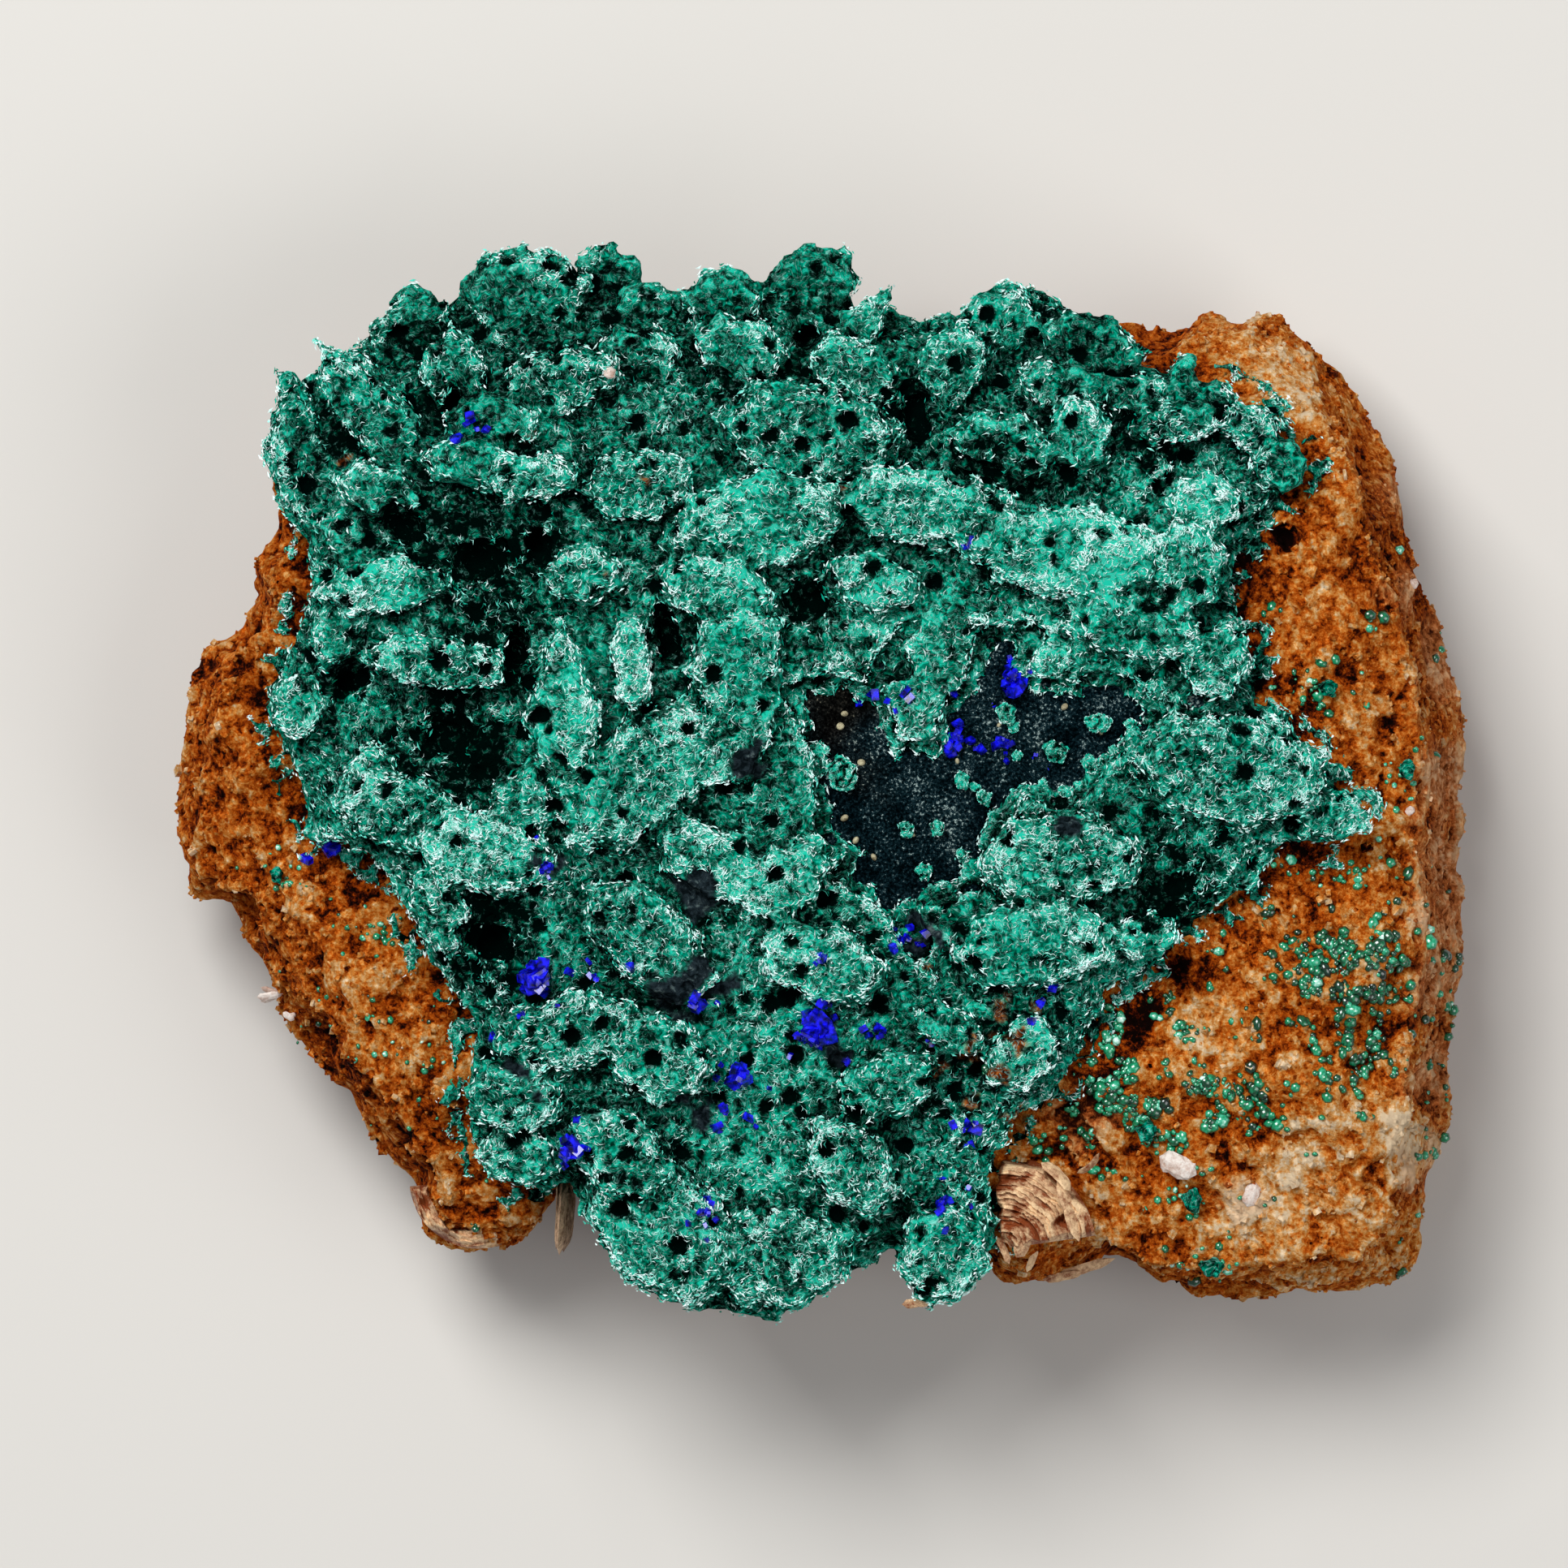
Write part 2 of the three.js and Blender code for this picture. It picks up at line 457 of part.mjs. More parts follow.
// A blade that shows both its faces
function freeBlade(length, width, thickness) {
  const half = 0.5 * thickness;
  const levels = [
    [0.78, 0.8 * half],
    [1, 0],
    [0.78, -0.8 * half],
  ];
  const rings = levels.map(([share, z]) => bladeRing(length, width, 0, share, z));
  return solid(ringSurface([0, 0, half], rings, [0, 0, -half]));
}

// An upside-down cone with a wide mouth, to cut a hollow
function hollow(length, width, depth) {
  const sides = 6;
  const ring = (share, z) =>
    Array.from({ length: sides }, (_, i) => {
      const angle = (2 * Math.PI * i) / sides;
      return [0.5 * length * share * Math.cos(angle), 0.5 * width * share * Math.sin(angle), z];
    });
  const rings = [ring(1.3, 6), ring(1, 0)];
  return solid(ringSurface([0, 0, 6], rings, [0, 0, -depth]));
}

// An upright plate of a drawn outline between two heights
function slab(outline, low, high) {
  const shape = new THREE.Shape(outline.map(([x, y]) => new THREE.Vector2(x, y)));
  const geometry = new THREE.ExtrudeGeometry(shape, { depth: high - low, bevelEnabled: false });
  geometry.translate(0, 0, low);
  return solid(geometry);
}

function oxideSlab(margin) {
  const [cx, cy] = OXIDE_CENTRE;
  const outline = OXIDE_OUTLINE.map(([x, y]) => {
    const reach = Math.hypot(x - cx, y - cy);
    const scale = 1 + (1.5 * margin) / reach;
    return [cx + (x - cx) * scale, cy + (y - cy) * scale];
  });
  return slab(outline, OXIDE_BASE - margin, OXIDE_TOP + margin);
}

function crustBody(rockSpace) {
  const blades = BLADES.map(([x, y, length, width, thickness, turn, tilt, rise, pointed]) => {
    const grown = blade(BLADE_SPREAD * length, BLADE_SPREAD * width, thickness, pointed);
    return placed(grown, [x, y, crustTop(x, y) + rise - 0.4 * thickness], [tilt, 0, turn]);
  });
  const hollows = HOLLOWS.map(([x, y, length, width, depth, turn]) => {
    const most = crustTop(x, y) - rockTop(x, y) - CRUST_FLOOR;
    return placed(hollow(length, width, Math.min(depth, most)), [x, y, crustTop(x, y)], [0, 0, turn]);
  });
  const grown = plainer(wasm.Manifold.union([crustMound(), ...blades]), BROAD_FACET_STEP);
  const cuts = [...hollows, slab(WINDOW, OXIDE_BASE, ABOVE_ALL), oxideSlab(GAP), rockSpace];
  return largest(plainer(grown.subtract(wasm.Manifold.union(cuts)), CUT_FACET_STEP));
}

// A crystal standing on its base, with a slanted tip
function crystal(radius, height) {
  const ring = (share, z, shift) =>
    Array.from({ length: SIDES_OF_CRYSTAL }, (_, i) => {
      const angle = (2 * Math.PI * i) / SIDES_OF_CRYSTAL;
      return [radius * share * Math.cos(angle) + shift, 0.8 * radius * share * Math.sin(angle), z];
    });
  const lean = 0.2 * radius;
  const rings = [ring(0.4, height, lean), ring(1, 0.62 * height, 0)];
  return solid(ringSurface([lean, 0, height], rings, [0, 0, 0]));
}

// Crystals grown together from one spot
function crystalGroup(length, width, count) {
  const size = Math.min(length, width);
  const crystals = Array.from({ length: count }, (_, i) => {
    const angle = GOLDEN_ANGLE * i + 0.7;
    const out = count > 1 ? 0.27 : 0;
    const radius = (count > 1 ? 0.36 : 0.5) * size * (1 - 0.06 * i);
    const place = [out * length * Math.cos(angle), out * width * Math.sin(angle), -0.5 * size];
    const lean = [-16 * Math.sin(angle), 16 * Math.cos(angle), 40 * i];
    return placed(crystal(radius, (1.15 - 0.1 * (i % 3)) * size), place, lean);
  });
  return wasm.Manifold.union(crystals);
}

// A rounded tuft with a lobed edge
function tuft(length, width, height) {
  const ring = (share, z) =>
    Array.from({ length: SIDES_OF_BALL }, (_, i) => {
      const angle = (2 * Math.PI * i) / SIDES_OF_BALL;
      const lobe = share * (i % 2 ? 0.88 : 1.05);
      return [0.5 * length * lobe * Math.cos(angle), 0.5 * width * lobe * Math.sin(angle), z];
    });
  const rings = [ring(0.66, 0.85 * height), ring(1, 0.3 * height)];
  return solid(ringSurface([0, 0, height], rings, [0, 0, -0.7 * height]));
}

// The same solid with whatever comes within the gap of its neighbours taken off
function settled(body, neighbours) {
  const moves = [
    [0, 0, GAP],
    [GAP, 0, 0],
    [-GAP, 0, 0],
    [0, GAP, 0],
    [0, -GAP, 0],
  ];
  const { min, max } = body.boundingBox();
  const centre = min.map((low, axis) => 0.5 * (low + max[axis]));
  const size = min.map((low, axis) => max[axis] - low + 4 * GAP);
  const around = solid(new THREE.BoxGeometry(...size).translate(...centre));
  const close = wasm.Manifold.union(neighbours.map((near) => near.intersect(around)));
  const spaces = wasm.Manifold.union(moves.map((move) => close.translate(move)));
  return plainer(largest(body.subtract(spaces)), SMALL_PIECE_STEP);
}

// Finds the upper surface of solids under a point
function heightFinder(bodies) {
  const meshes = bodies.map((body) => new THREE.Mesh(facets(body), new THREE.MeshBasicMaterial()));
  const down = new THREE.Vector3(0, 0, -1);
  const ray = new THREE.Raycaster();
  return (x, y) => {
    ray.set(new THREE.Vector3(x, y, ABOVE_ALL), down);
    return ray.intersectObjects(meshes)[0].point.z;
  };
}

function baritePieces(rock, crust, ground) {
  const standing = placed(freeBlade(6.4, 6.4, 1.6), [-18.4, -31.4, 19.5], [0, 90, 90]);
  const ribs = Array.from({ length: 5 }, (_, i) =>
    placed(freeBlade(8.6 - 0.5 * Math.abs(i - 2), 6, 1.5), [13.3 + 1.15 * i, -31.2 + 0.2 * i, 22.0], [
      72 - 6 * i,
      0,
      -62 - 6 * i,
    ]),
  );
  const left = placed(crystal(0.6, 2.6), [-38.4, -15.2, 11.5], [0, -82, 12]);
  const lens = placed(freeBlade(3.0, 1.6, 1.0), [25.8, -27.8, ground(25.8, -27.8) + 0.4], [4, 0, -26]);
  return {
    barite_blade_standing: [settled(standing, [rock, crust]), "tan_barite"],
    barite_ribs: [settled(wasm.Manifold.union(ribs), [rock, crust]), "cream_barite"],
    barite_crystal_left: [settled(left, [rock]), "white_barite"],
    barite_lens_white: [settled(lens, [rock]), "white_barite"],
  };
}

function numbered(name, index) {
  return `${name}_${String(index + 1).padStart(2, "0")}`;
}

function material(name, color, roughness) {
  return new THREE.MeshStandardMaterial({ name, color, roughness, metalness: 0 });
}

const MATERIALS = {
  iron_stained_barite: () => material("iron_stained_barite", "#a2602c", 0.92),
  velvet_malachite: () => material("velvet_malachite", "#2f8c74", 0.85),
  copper_oxide: () => material("copper_oxide", "#20303a", 0.6),
  azurite: () => material("azurite", "#0a0a9c", 0.25),
  tan_barite: () => material("tan_barite", "#a8886c", 0.6),
  cream_barite: () => material("cream_barite", "#d6a678", 0.6),
  white_barite: () => material("white_barite", "#e6d6ca", 0.5),
};

function specimen() {
  const rock = rockBody(0);
  const rockSpace = plainer(rockBody(GAP + HIDDEN_FACET_STEP), HIDDEN_FACET_STEP);
  const oxide = plainer(largest(oxideSlab(0).subtract(rockSpace)), CUT_FACET_STEP);
  const crust = crustBody(rockSpace);
  const onCrust = heightFinder([crust, oxide, rock]);
  const onRock = heightFinder([rock]);
  const pieces = {
    matrix: [rock, "iron_stained_barite"],
    oxide_coating: [oxide, "copper_oxide"],
    malachite_crust: [crust, "velvet_malachite"],
    ...baritePieces(rock, crust, onRock),
  };
  AZURITE.forEach(([x, y, length, width, count], i) => {
    const group = placed(crystalGroup(length, width, count), [x, y, onCrust(x, y) + 0.5]);
    pieces[numbered("azurite", i)] = [settled(group, [crust, oxide, rock]), "azurite"];
  });
  TUFTS.forEach(([x, y, length, width, height], i) => {
    const body = placed(tuft(length, width, height), [x, y, OXIDE_TOP + GAP]);
    pieces[numbered("malachite_tuft", i)] = [settled(body, [crust, oxide]), "velvet_malachite"];
  });
  BALLS.forEach(([x, y, length, width, height], i) => {
    const body = placed(tuft(length, width, height), [x, y, onRock(x, y)]);
    pieces[numbered("malachite_ball", i)] = [settled(body, [rock]), "velvet_malachite"];
  });
  const group = new THREE.Group();
  group.name = "malachite_on_barite";
  Object.entries(pieces).forEach(([name, [body, slot]]) => {
    const mesh = new THREE.Mesh(facets(body), MATERIALS[slot]());
    mesh.name = name;
    group.add(mesh);
  });
  return group;
}

export default specimen();
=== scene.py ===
# %% [markdown]
# # A malachite on barite specimen
#
# A hand-sized piece of iron-stained barite rock. A crust of velvety green malachite has grown over
# rounded barite blades on its face, with a window down to a blue-black copper oxide film, and a few
# deep blue azurite crystals. The lesson takes the plain CAD solids and gives each of them the surface
# that it has on the real rock, mostly with numpy arrays and a few of Blender's modifiers.
#
# Lengths are in metres, as in the rest of the frame, and MM turns a size in millimetres into one.

import bmesh
import bpy
import numpy as np
from mathutils import Matrix, Vector


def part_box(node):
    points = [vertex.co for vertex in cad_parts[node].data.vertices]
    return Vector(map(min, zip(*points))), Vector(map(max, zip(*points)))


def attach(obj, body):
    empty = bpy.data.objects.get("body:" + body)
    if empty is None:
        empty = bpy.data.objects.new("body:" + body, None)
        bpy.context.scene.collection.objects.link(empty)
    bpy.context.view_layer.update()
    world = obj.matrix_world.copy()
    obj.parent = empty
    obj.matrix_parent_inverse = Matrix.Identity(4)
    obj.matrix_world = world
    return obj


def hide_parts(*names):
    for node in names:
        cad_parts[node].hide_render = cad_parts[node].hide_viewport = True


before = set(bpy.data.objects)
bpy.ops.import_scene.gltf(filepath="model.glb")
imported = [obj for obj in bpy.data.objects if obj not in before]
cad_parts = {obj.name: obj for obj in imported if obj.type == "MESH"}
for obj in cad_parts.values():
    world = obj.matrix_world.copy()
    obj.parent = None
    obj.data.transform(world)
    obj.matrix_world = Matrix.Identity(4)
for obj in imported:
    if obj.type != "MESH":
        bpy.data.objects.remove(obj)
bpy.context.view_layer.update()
MM = 0.001
rng = np.random.default_rng(7)
print("solids:", len(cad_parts))


def names_of(start):
    """The names of the solids that start so, in order."""
    return sorted(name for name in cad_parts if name.startswith(start))


def box_of(name):
    """The low and the high corner of a solid's box."""
    return tuple(np.array(corner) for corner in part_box(name))


# %% [markdown]
# ## Random ground
#
# Rock, crust and crystals all need relief that looks random and yet is the same on every run. Blender
# has Displace modifiers with clouds, but a noise of our own in numpy can be added up at several sizes,
# bent and masked before it moves a point. It is value noise: random numbers on a cubic lattice,
# blended smoothly between the corners of each cell.

# %% Value noise


def lattice(cells, seed):
    """A number from 0 to 1 for each cell: its coordinates times large odd numbers, with the bits mixed."""
    mixed = cells[:, 0] * 374761393 + cells[:, 1] * 668265263 + cells[:, 2] * 1103515245 + seed * 974634777
    mixed = ((mixed ^ (mixed >> 13)) & 0xFFFFFFFF) * 1274126177
    return ((mixed ^ (mixed >> 16)) & 0xFFFFFF) / 0xFFFFFF


def waves(points, size, seed):
    """Heights from -1 to 1. In each cell the eight corners' numbers are blended by 3t^2 - 2t^3 along
    each axis, where t runs from 0 to 1 across a cell of the given size."""
    scaled = points / size
    cell = np.floor(scaled).astype(np.int64)
    part = scaled - cell
    part = part * part * (3 - 2 * part)
    total = np.zeros(len(points))
    for corner in np.ndindex(2, 2, 2):
        weight = np.prod(np.where(corner, part, 1 - part), axis=1)
        total += weight * lattice(cell + np.array(corner), seed)
    return 2 * total - 1


def crests(points, size, seed):
    """Sharp crests of height 1 where the noise passes through 0, falling to -1: 1 - 2 * |waves|^0.5."""
    return 1 - 2 * np.sqrt(np.abs(waves(points, size, seed)))


def bent(points, size, reach, seed):
    """The points, each moved by the reach times three noises, one along each axis."""
    return points + reach * np.stack([waves(points, size, seed + i) for i in (0, 1, 2)], axis=1)


def crumbs(points, size, seed):
    """The distance to the nearest of one random spot in each cell, in cells, and that spot's own number.
    The 27 cells round the point's own are searched."""
    scaled = points / size
    home = np.floor(scaled).astype(np.int64)
    nearest, number = np.full(len(points), 9.0), np.zeros(len(points))
    for step in np.ndindex(3, 3, 3):
        cell = home + np.array(step) - 1
        spot = cell + np.stack([lattice(cell, seed + i) for i in (0, 1, 2)], axis=1)
        away = np.linalg.norm(scaled - spot, axis=1)
        number = np.where(away < nearest, lattice(cell, seed + 3), number)
        nearest = np.minimum(away, nearest)
    return nearest, number


def patches(points, rows, seed, ragged=0.35):
    """Each row is the x, y, radius and strength of a patch, in mm. The sum over the patches of
    strength * exp(-(d / radius)^4), where noise about as wide as the patch moves the rims."""
    total = np.zeros(len(points))
    for x, y, radius, strength in rows:
        near = np.flatnonzero(np.hypot(points[:, 0] - x * MM, points[:, 1] - y * MM) < 2.5 * radius * MM)
        bend = np.stack([waves(points[near], 1.1 * radius * MM, seed + i) for i in (0, 1)], axis=1)
        away = np.hypot(*(points[near, :2] + ragged * 2 * radius * MM * bend - np.array([x, y]) * MM).T)
        total[near] += strength * np.exp(-((away / (radius * MM)) ** 4))
    return total


# %% [markdown]
# ## From arrays to objects
#
# Every new piece is worked out as an array of points and an array of faces. Writing them with
# foreach_set takes a moment even for a hundred thousand faces, where adding them one at a time would
# take minutes. Each object stays at the origin, with its place in its mesh, and rides on the frame's
# one body.

# %% Pieces from arrays


def mesh_from(name, points, faces):
    """A mesh of points and faces, where all the faces have the same number of corners."""
    mesh = bpy.data.meshes.new(name)
    count, corners = faces.shape
    mesh.vertices.add(len(points))
    mesh.vertices.foreach_set("co", np.ascontiguousarray(points, dtype=np.float32).ravel())
    mesh.loops.add(faces.size)
    mesh.loops.foreach_set("vertex_index", np.ascontiguousarray(faces, dtype=np.int32).ravel())
    mesh.polygons.add(count)
    mesh.polygons.foreach_set("loop_start", np.arange(0, faces.size, corners, dtype=np.int32))
    mesh.update(calc_edges=True)
    mesh.validate()
    return mesh


def moved(mesh, points):
    """Puts the mesh's points at new places."""
    mesh.vertices.foreach_set("co", np.ascontiguousarray(points, dtype=np.float32).ravel())
    mesh.update()


def numbers_of(items, name, width=3, kind=float):
    """One row of numbers for each of a mesh's items, such as its points, read all at once."""
    numbers = np.empty(len(items) * width, dtype=kind)
    items.foreach_get(name, numbers)
    return numbers.reshape(-1, width)


def normals_of(mesh):
    """The direction out of the surface at each point."""
    return numbers_of(mesh.vertex_normals, "vector")


def triangles(mesh):
    """A face of n corners counts as n - 2 triangles."""
    return len(mesh.loops) - 2 * len(mesh.polygons)


def paint(mesh, **values):
    """Stores one number for each point under each name, for the materials to read."""
    for name, numbers in values.items():
        layer = mesh.attributes.new(name, "FLOAT", "POINT")
        layer.data.foreach_set("value", np.ascontiguousarray(numbers, dtype=np.float32))


def placed(name, data):
    """A new object in the scene, at the origin."""
    made = bpy.data.objects.new(name, data)
    bpy.context.scene.collection.objects.link(made)
    return made


def piece(name, mesh, stands_for=(), smooth=True):
    """An object for the mesh that rides on the frame and hides the solids that it stands for."""
    made = placed(name, mesh)
    mesh.polygons.foreach_set("use_smooth", np.full(len(mesh.polygons), smooth))
    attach(made, "root")
    if stands_for:
        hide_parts(*stands_for)
    print(name, triangles(mesh), "triangles")
    return made


# %% [markdown]
# ## One skin over many shells
#
# A CAD solid has flat facets, and the real rock has none that big. The Remesh modifier counts the
# small cubes that lie inside a shell and draws an even net of quads round them. It gives points at an
# even distance everywhere, ready to be moved, and shells that overlap come out as one. A shell that is
# hardly larger than a cube leaves a loose crumb in the air, and those are taken out.

# %% Even nets
SMALLEST_ISLAND = 40


def solid_arrays(node):
    """Points and triangles of a CAD node, with its loose corners merged, and the merged mesh."""
    shell = bmesh.new()
    shell.from_mesh(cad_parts[node].data)
    bmesh.ops.remove_doubles(shell, verts=shell.verts, dist=0.0001 * MM)
    merged = bpy.data.meshes.new(node + "_merged")
    shell.to_mesh(merged)
    shell.free()
    return numbers_of(merged.vertices, "co"), numbers_of(merged.polygons, "vertices", kind=np.int32), merged


def joined(shells):
    """One array of points and one of faces for several (points, faces) shells."""
    starts = np.cumsum([0] + [len(points) for points, _ in shells[:-1]])
    faces = [corners + start for (_, corners), start in zip(shells, starts)]
    return np.concatenate([points for points, _ in shells]), np.concatenate(faces)


def without_crumbs(mesh):
    """Takes out the islands of too few points. An island's points share a number: each takes the lowest
    number next to it, and then the number that the point of that number has, until nothing changes."""
    one, other = numbers_of(mesh.edges, "vertices", 2, np.int32).T
    island, before = np.arange(len(mesh.vertices)), None
    while before is None or (island != before).any():
        before = island.copy()
        np.minimum.at(island, one, before[other])
        np.minimum.at(island, other, before[one])
        island = island[island]
    loose = np.flatnonzero(np.bincount(island)[island] < SMALLEST_ISLAND)
    shell = bmesh.new()
    shell.from_mesh(mesh)
    shell.verts.ensure_lookup_table()
    bmesh.ops.delete(shell, geom=[shell.verts[index] for index in loose], context="VERTS")
    shell.to_mesh(mesh)
    shell.free()


def applied(rough, name):
    """The mesh of an object with its modifiers applied. The object is let go."""
    graph = bpy.context.evaluated_depsgraph_get()
    mesh = bpy.data.meshes.new_from_object(rough.evaluated_get(graph))
    bpy.data.objects.remove(rough)
    mesh.name = name
    return mesh


def even_net(name, shells, cell):
    """The skin of the shells as a mesh of quads about one cell wide, smoothed once, with its points and
    normals."""
    rough = placed(name + "_rough", mesh_from(name + "_rough", *joined(shells)))
    skin = rough.modifiers.new("skin", "REMESH")
    skin.mode = "VOXEL"
    skin.voxel_size = cell
    rough.modifiers.new("calm", "SMOOTH").iterations = 1
    mesh = applied(rough, name)
    without_crumbs(mesh)
    print(name, "net:", len(mesh.polygons), "quads")
    return mesh, numbers_of(mesh.vertices, "co"), normals_of(mesh)


def ridges(mesh, points, normals, rounds, height):
    """How far each point stands out of the skin: (point - p) . normal, where p is where the point would
    be after the given rounds of moving every point to the mean of its neighbours. The height counts as
    1, and so does more."""
    one, other = numbers_of(mesh.edges, "vertices", 2, np.int32).T
    count = np.bincount(one, minlength=len(points)) + np.bincount(other, minlength=len(points))
    calm = points
    for _ in range(rounds):
        pulls = [
            np.bincount(one, calm[other, i], len(points)) + np.bincount(other, calm[one, i], len(points))
            for i in range(3)
        ]
        calm = np.stack(pulls, axis=1) / count[:, None]
    return np.clip(np.sum((points - calm) * normals, axis=1) / height, -1, 1)


def thinned(mesh, hidden, goal):
    """The mesh in about the given number of triangles, as larger faces in its hidden part: Decimate, led
    by a vertex group."""
    whole = placed(mesh.name + "_whole", mesh)
    group = whole.vertex_groups.new(name="hidden")
    group.add(np.flatnonzero(hidden).tolist(), 1.0, "REPLACE")
    fewer = whole.modifiers.new("fewer", "DECIMATE")
    fewer.ratio = min(1, goal / triangles(mesh))
    fewer.vertex_group = "hidden"
    fewer.vertex_group_factor = 1000
    return applied(whole, mesh.name)


# %% [markdown]
# ## The barite rock
#
# The rock is barite soaked with rusty iron oxide. Its broken faces are craggy and crumbly: crests a few
# millimetres apart, and crumbs of 2 mm and of 1 mm with sharp steps between them: each crumb is the part
# of the face that is nearest to one of many random spots. Each point moves along its normal by the sum.
# A few stretches are calmer, and the steep wall at the right is ribbed by the edges of its layers.
# The base stays flat where the piece rests.

# %% The rock's shape
ROCK_CELL = 0.4 * MM
PINK_PATCHES = [
    (43.5, 22, 3, 0.9), (45, 15, 3, 0.9), (46, 8, 3, 0.9), (46, 0, 3.4, 0.9), (46, -7, 3.4, 0.9),
    (45.5, -14, 3, 0.8), (45.5, -21, 3, 0.8), (45, -28, 2.6, 0.7), (19, -24, 2.4, 0.4), (31, -30, 1.6, 0.5),
]
CALM_PATCHES = [
    (31.5, 31, 3.4, 0.8), (36.5, 27, 3.6, 0.8), (40.5, 22, 3.4, 0.7), (42.5, -26.5, 3, 0.6),
    (28.5, -18, 3, 0.6), (44.5, 12, 4, 0.5), (45.5, 2, 4, 0.5), (45.5, -10, 4, 0.5), (38, 10, 3, 0.5),
    (36, -30, 3, 0.3),
]


def rock_relief(points):
    """Crests of 6 mm and 2.6 mm plus crumbs of 2.3 mm and 1.1 mm, each with a level of its own and round
    on top, and a number for each crumb."""
    moved_on = bent(points, 1.6 * MM, 0.5 * MM, 1)
    large = 0.5 * crests(moved_on, 6 * MM, 4) + 0.2 * crests(moved_on, 2.6 * MM, 5)
    coarse, coarse_number = crumbs(moved_on, 2.3 * MM, 6)
    fine, fine_number = crumbs(moved_on, 1.1 * MM, 16)
    levels = 0.45 * (coarse_number - 0.5) + 0.3 * (fine_number - 0.5)
    height = large + levels + 0.3 * (0.5 - coarse) + 0.2 * (0.5 - fine)
    calm = np.clip(patches(points, CALM_PATCHES, 61), 0, 1)
    wall = np.clip(patches(points, PINK_PATCHES, 41), 0, 1)
    layers = crests(moved_on * [1, 0.14, 0.5], 0.9 * MM, 64) * wall
    tint = (0.6 * coarse_number + 0.4 * fine_number - 0.5) * (1 - 0.5 * calm)
    return MM * (height * (1 - 0.65 * calm) + 0.16 * layers), tint


rock_mesh, rock_points, rock_normals = even_net("barite_rock", [solid_arrays("matrix")[:2]], ROCK_CELL)
rock_shift, rock_tint = rock_relief(rock_points)
rock_points = rock_points + rock_normals * (rock_shift - 0.3 * MM)[:, None]
rock_points[:, 2] = np.maximum(rock_points[:, 2], 0)
moved(rock_mesh, rock_points)

# %% [markdown]
# ## Height fields
#
# A height field of a face, with one height for each small square, tells where a surface lies under any
# spot. Small pieces are set down on it, and later it shows how much of the sky each spot sees.

# %% Height fields
FIELD_STEP = 0.35 * MM
FIELD_LOW = np.array([-0.050, -0.042])
FIELD_SHAPE = (286, 240)


def highest_beside(field):
    """The highest of each square's four neighbours."""
    return np.max([np.roll(field, step, axis) for step in (1, -1) for axis in (0, 1)], axis=0)


def squares_of(points):
    """The row and column of the square under each point."""
    cells = ((points[:, :2] - FIELD_LOW) / FIELD_STEP).astype(int)
    return cells[:, 0], cells[:, 1]


def height_field(*arrays):
    """The highest point in each square, and for an empty square the highest beside it."""
    field = np.zeros(FIELD_SHAPE)
    for points in arrays:
        np.maximum.at(field, squares_of(points), points[:, 2])
    return np.where(field < 2 * MM, highest_beside(field), field)


def sampled(field, points):
    """The field's value under each point, blended between the four nearest squares."""
    place = (points[:, :2] - FIELD_LOW) / FIELD_STEP - 0.5
    cell = np.clip(np.floor(place).astype(int), 0, np.array(FIELD_SHAPE) - 2)
    part = np.clip(place - cell, 0, 1)
    total = np.zeros(len(points))
    for i, j in np.ndindex(2, 2):
        weight = np.abs(1 - i - part[:, 0]) * np.abs(1 - j - part[:, 1])
        total += weight * field[cell[:, 0] + i, cell[:, 1] + j]
    return total


def height_at(field, x, y):
    """The field's height at one spot, whose x and y are in mm."""
    return sampled(field, np.array([[x, y, 0]]) * MM)[0]


# %% [markdown]
# ## Copper oxide
#
# A thin blue-black film of copper oxide coats the barite in the window. It is dull and faintly lumpy,
# with fine grains painted pale as glints, and browner at its left where the film is thin. Small round
# tan beads of barite sit on it, each row their x, y and radius in mm.

# %% The oxide film
OXIDE_CELL = 0.3 * MM
TAN_BEADS = [
    (11.8, 8.7, 0.32), (15, 7.3, 0.28), (17.6, 5.2, 0.3), (25.1, 5.2, 0.34), (-1.4, 5.3, 0.3),
    (1.8, 4.7, 0.28), (1.5, 3.8, 0.3), (7.4, 2.9, 0.26), (3, 1.2, 0.3), (1.8, -2.8, 0.32), (2.6, -4.4, 0.3),
    (3.9, -5.6, 0.28), (9.9, 1.3, 0.22), (5.4, 6.2, 0.24), (12.9, 3.9, 0.2), (20.2, 3.4, 0.24),
    (6.7, -4, 0.2), (0.6, 6.4, 0.2),
]
THIN_FILM = [(0.8, 5.0, 3.0, 0.75), (4.0, 0.5, 2.0, 0.3)]
oxide_shells = [solid_arrays("oxide_coating")[:2]]
oxide_mesh, oxide_points, oxide_normals = even_net("oxide_film", oxide_shells, OXIDE_CELL)
oxide_shift = 0.16 * waves(oxide_points, 1.6 * MM, 81) + 0.1 * crests(oxide_points, 0.7 * MM, 82)
oxide_points = oxide_points + oxide_normals * MM * oxide_shift[:, None]
moved(oxide_mesh, oxide_points)
paint(oxide_mesh, thin=patches(oxide_points, THIN_FILM, 83))
oxide = piece("oxide_film", oxide_mesh, ["oxide_coating"])
film_field = height_field(oxide_points)

# %% [markdown]
# ## The malachite crust
#
# The crust is one skin over dozens of rounded blades. On the real piece every blade's rim is beaded
# with small round lobes of malachite, so beads are set along the solid's sharp edges before the net is
# drawn, and the net joins them to the blades. A bead is a pebble of 36 faces, pressed flat at random.
# Low down, only beads that stand over the rock are kept.

# %% Beads along the rims
CRUST_CELL = 0.37 * MM
BEAD_EVERY = 0.75 * MM
LOW_RIM = 14 * MM


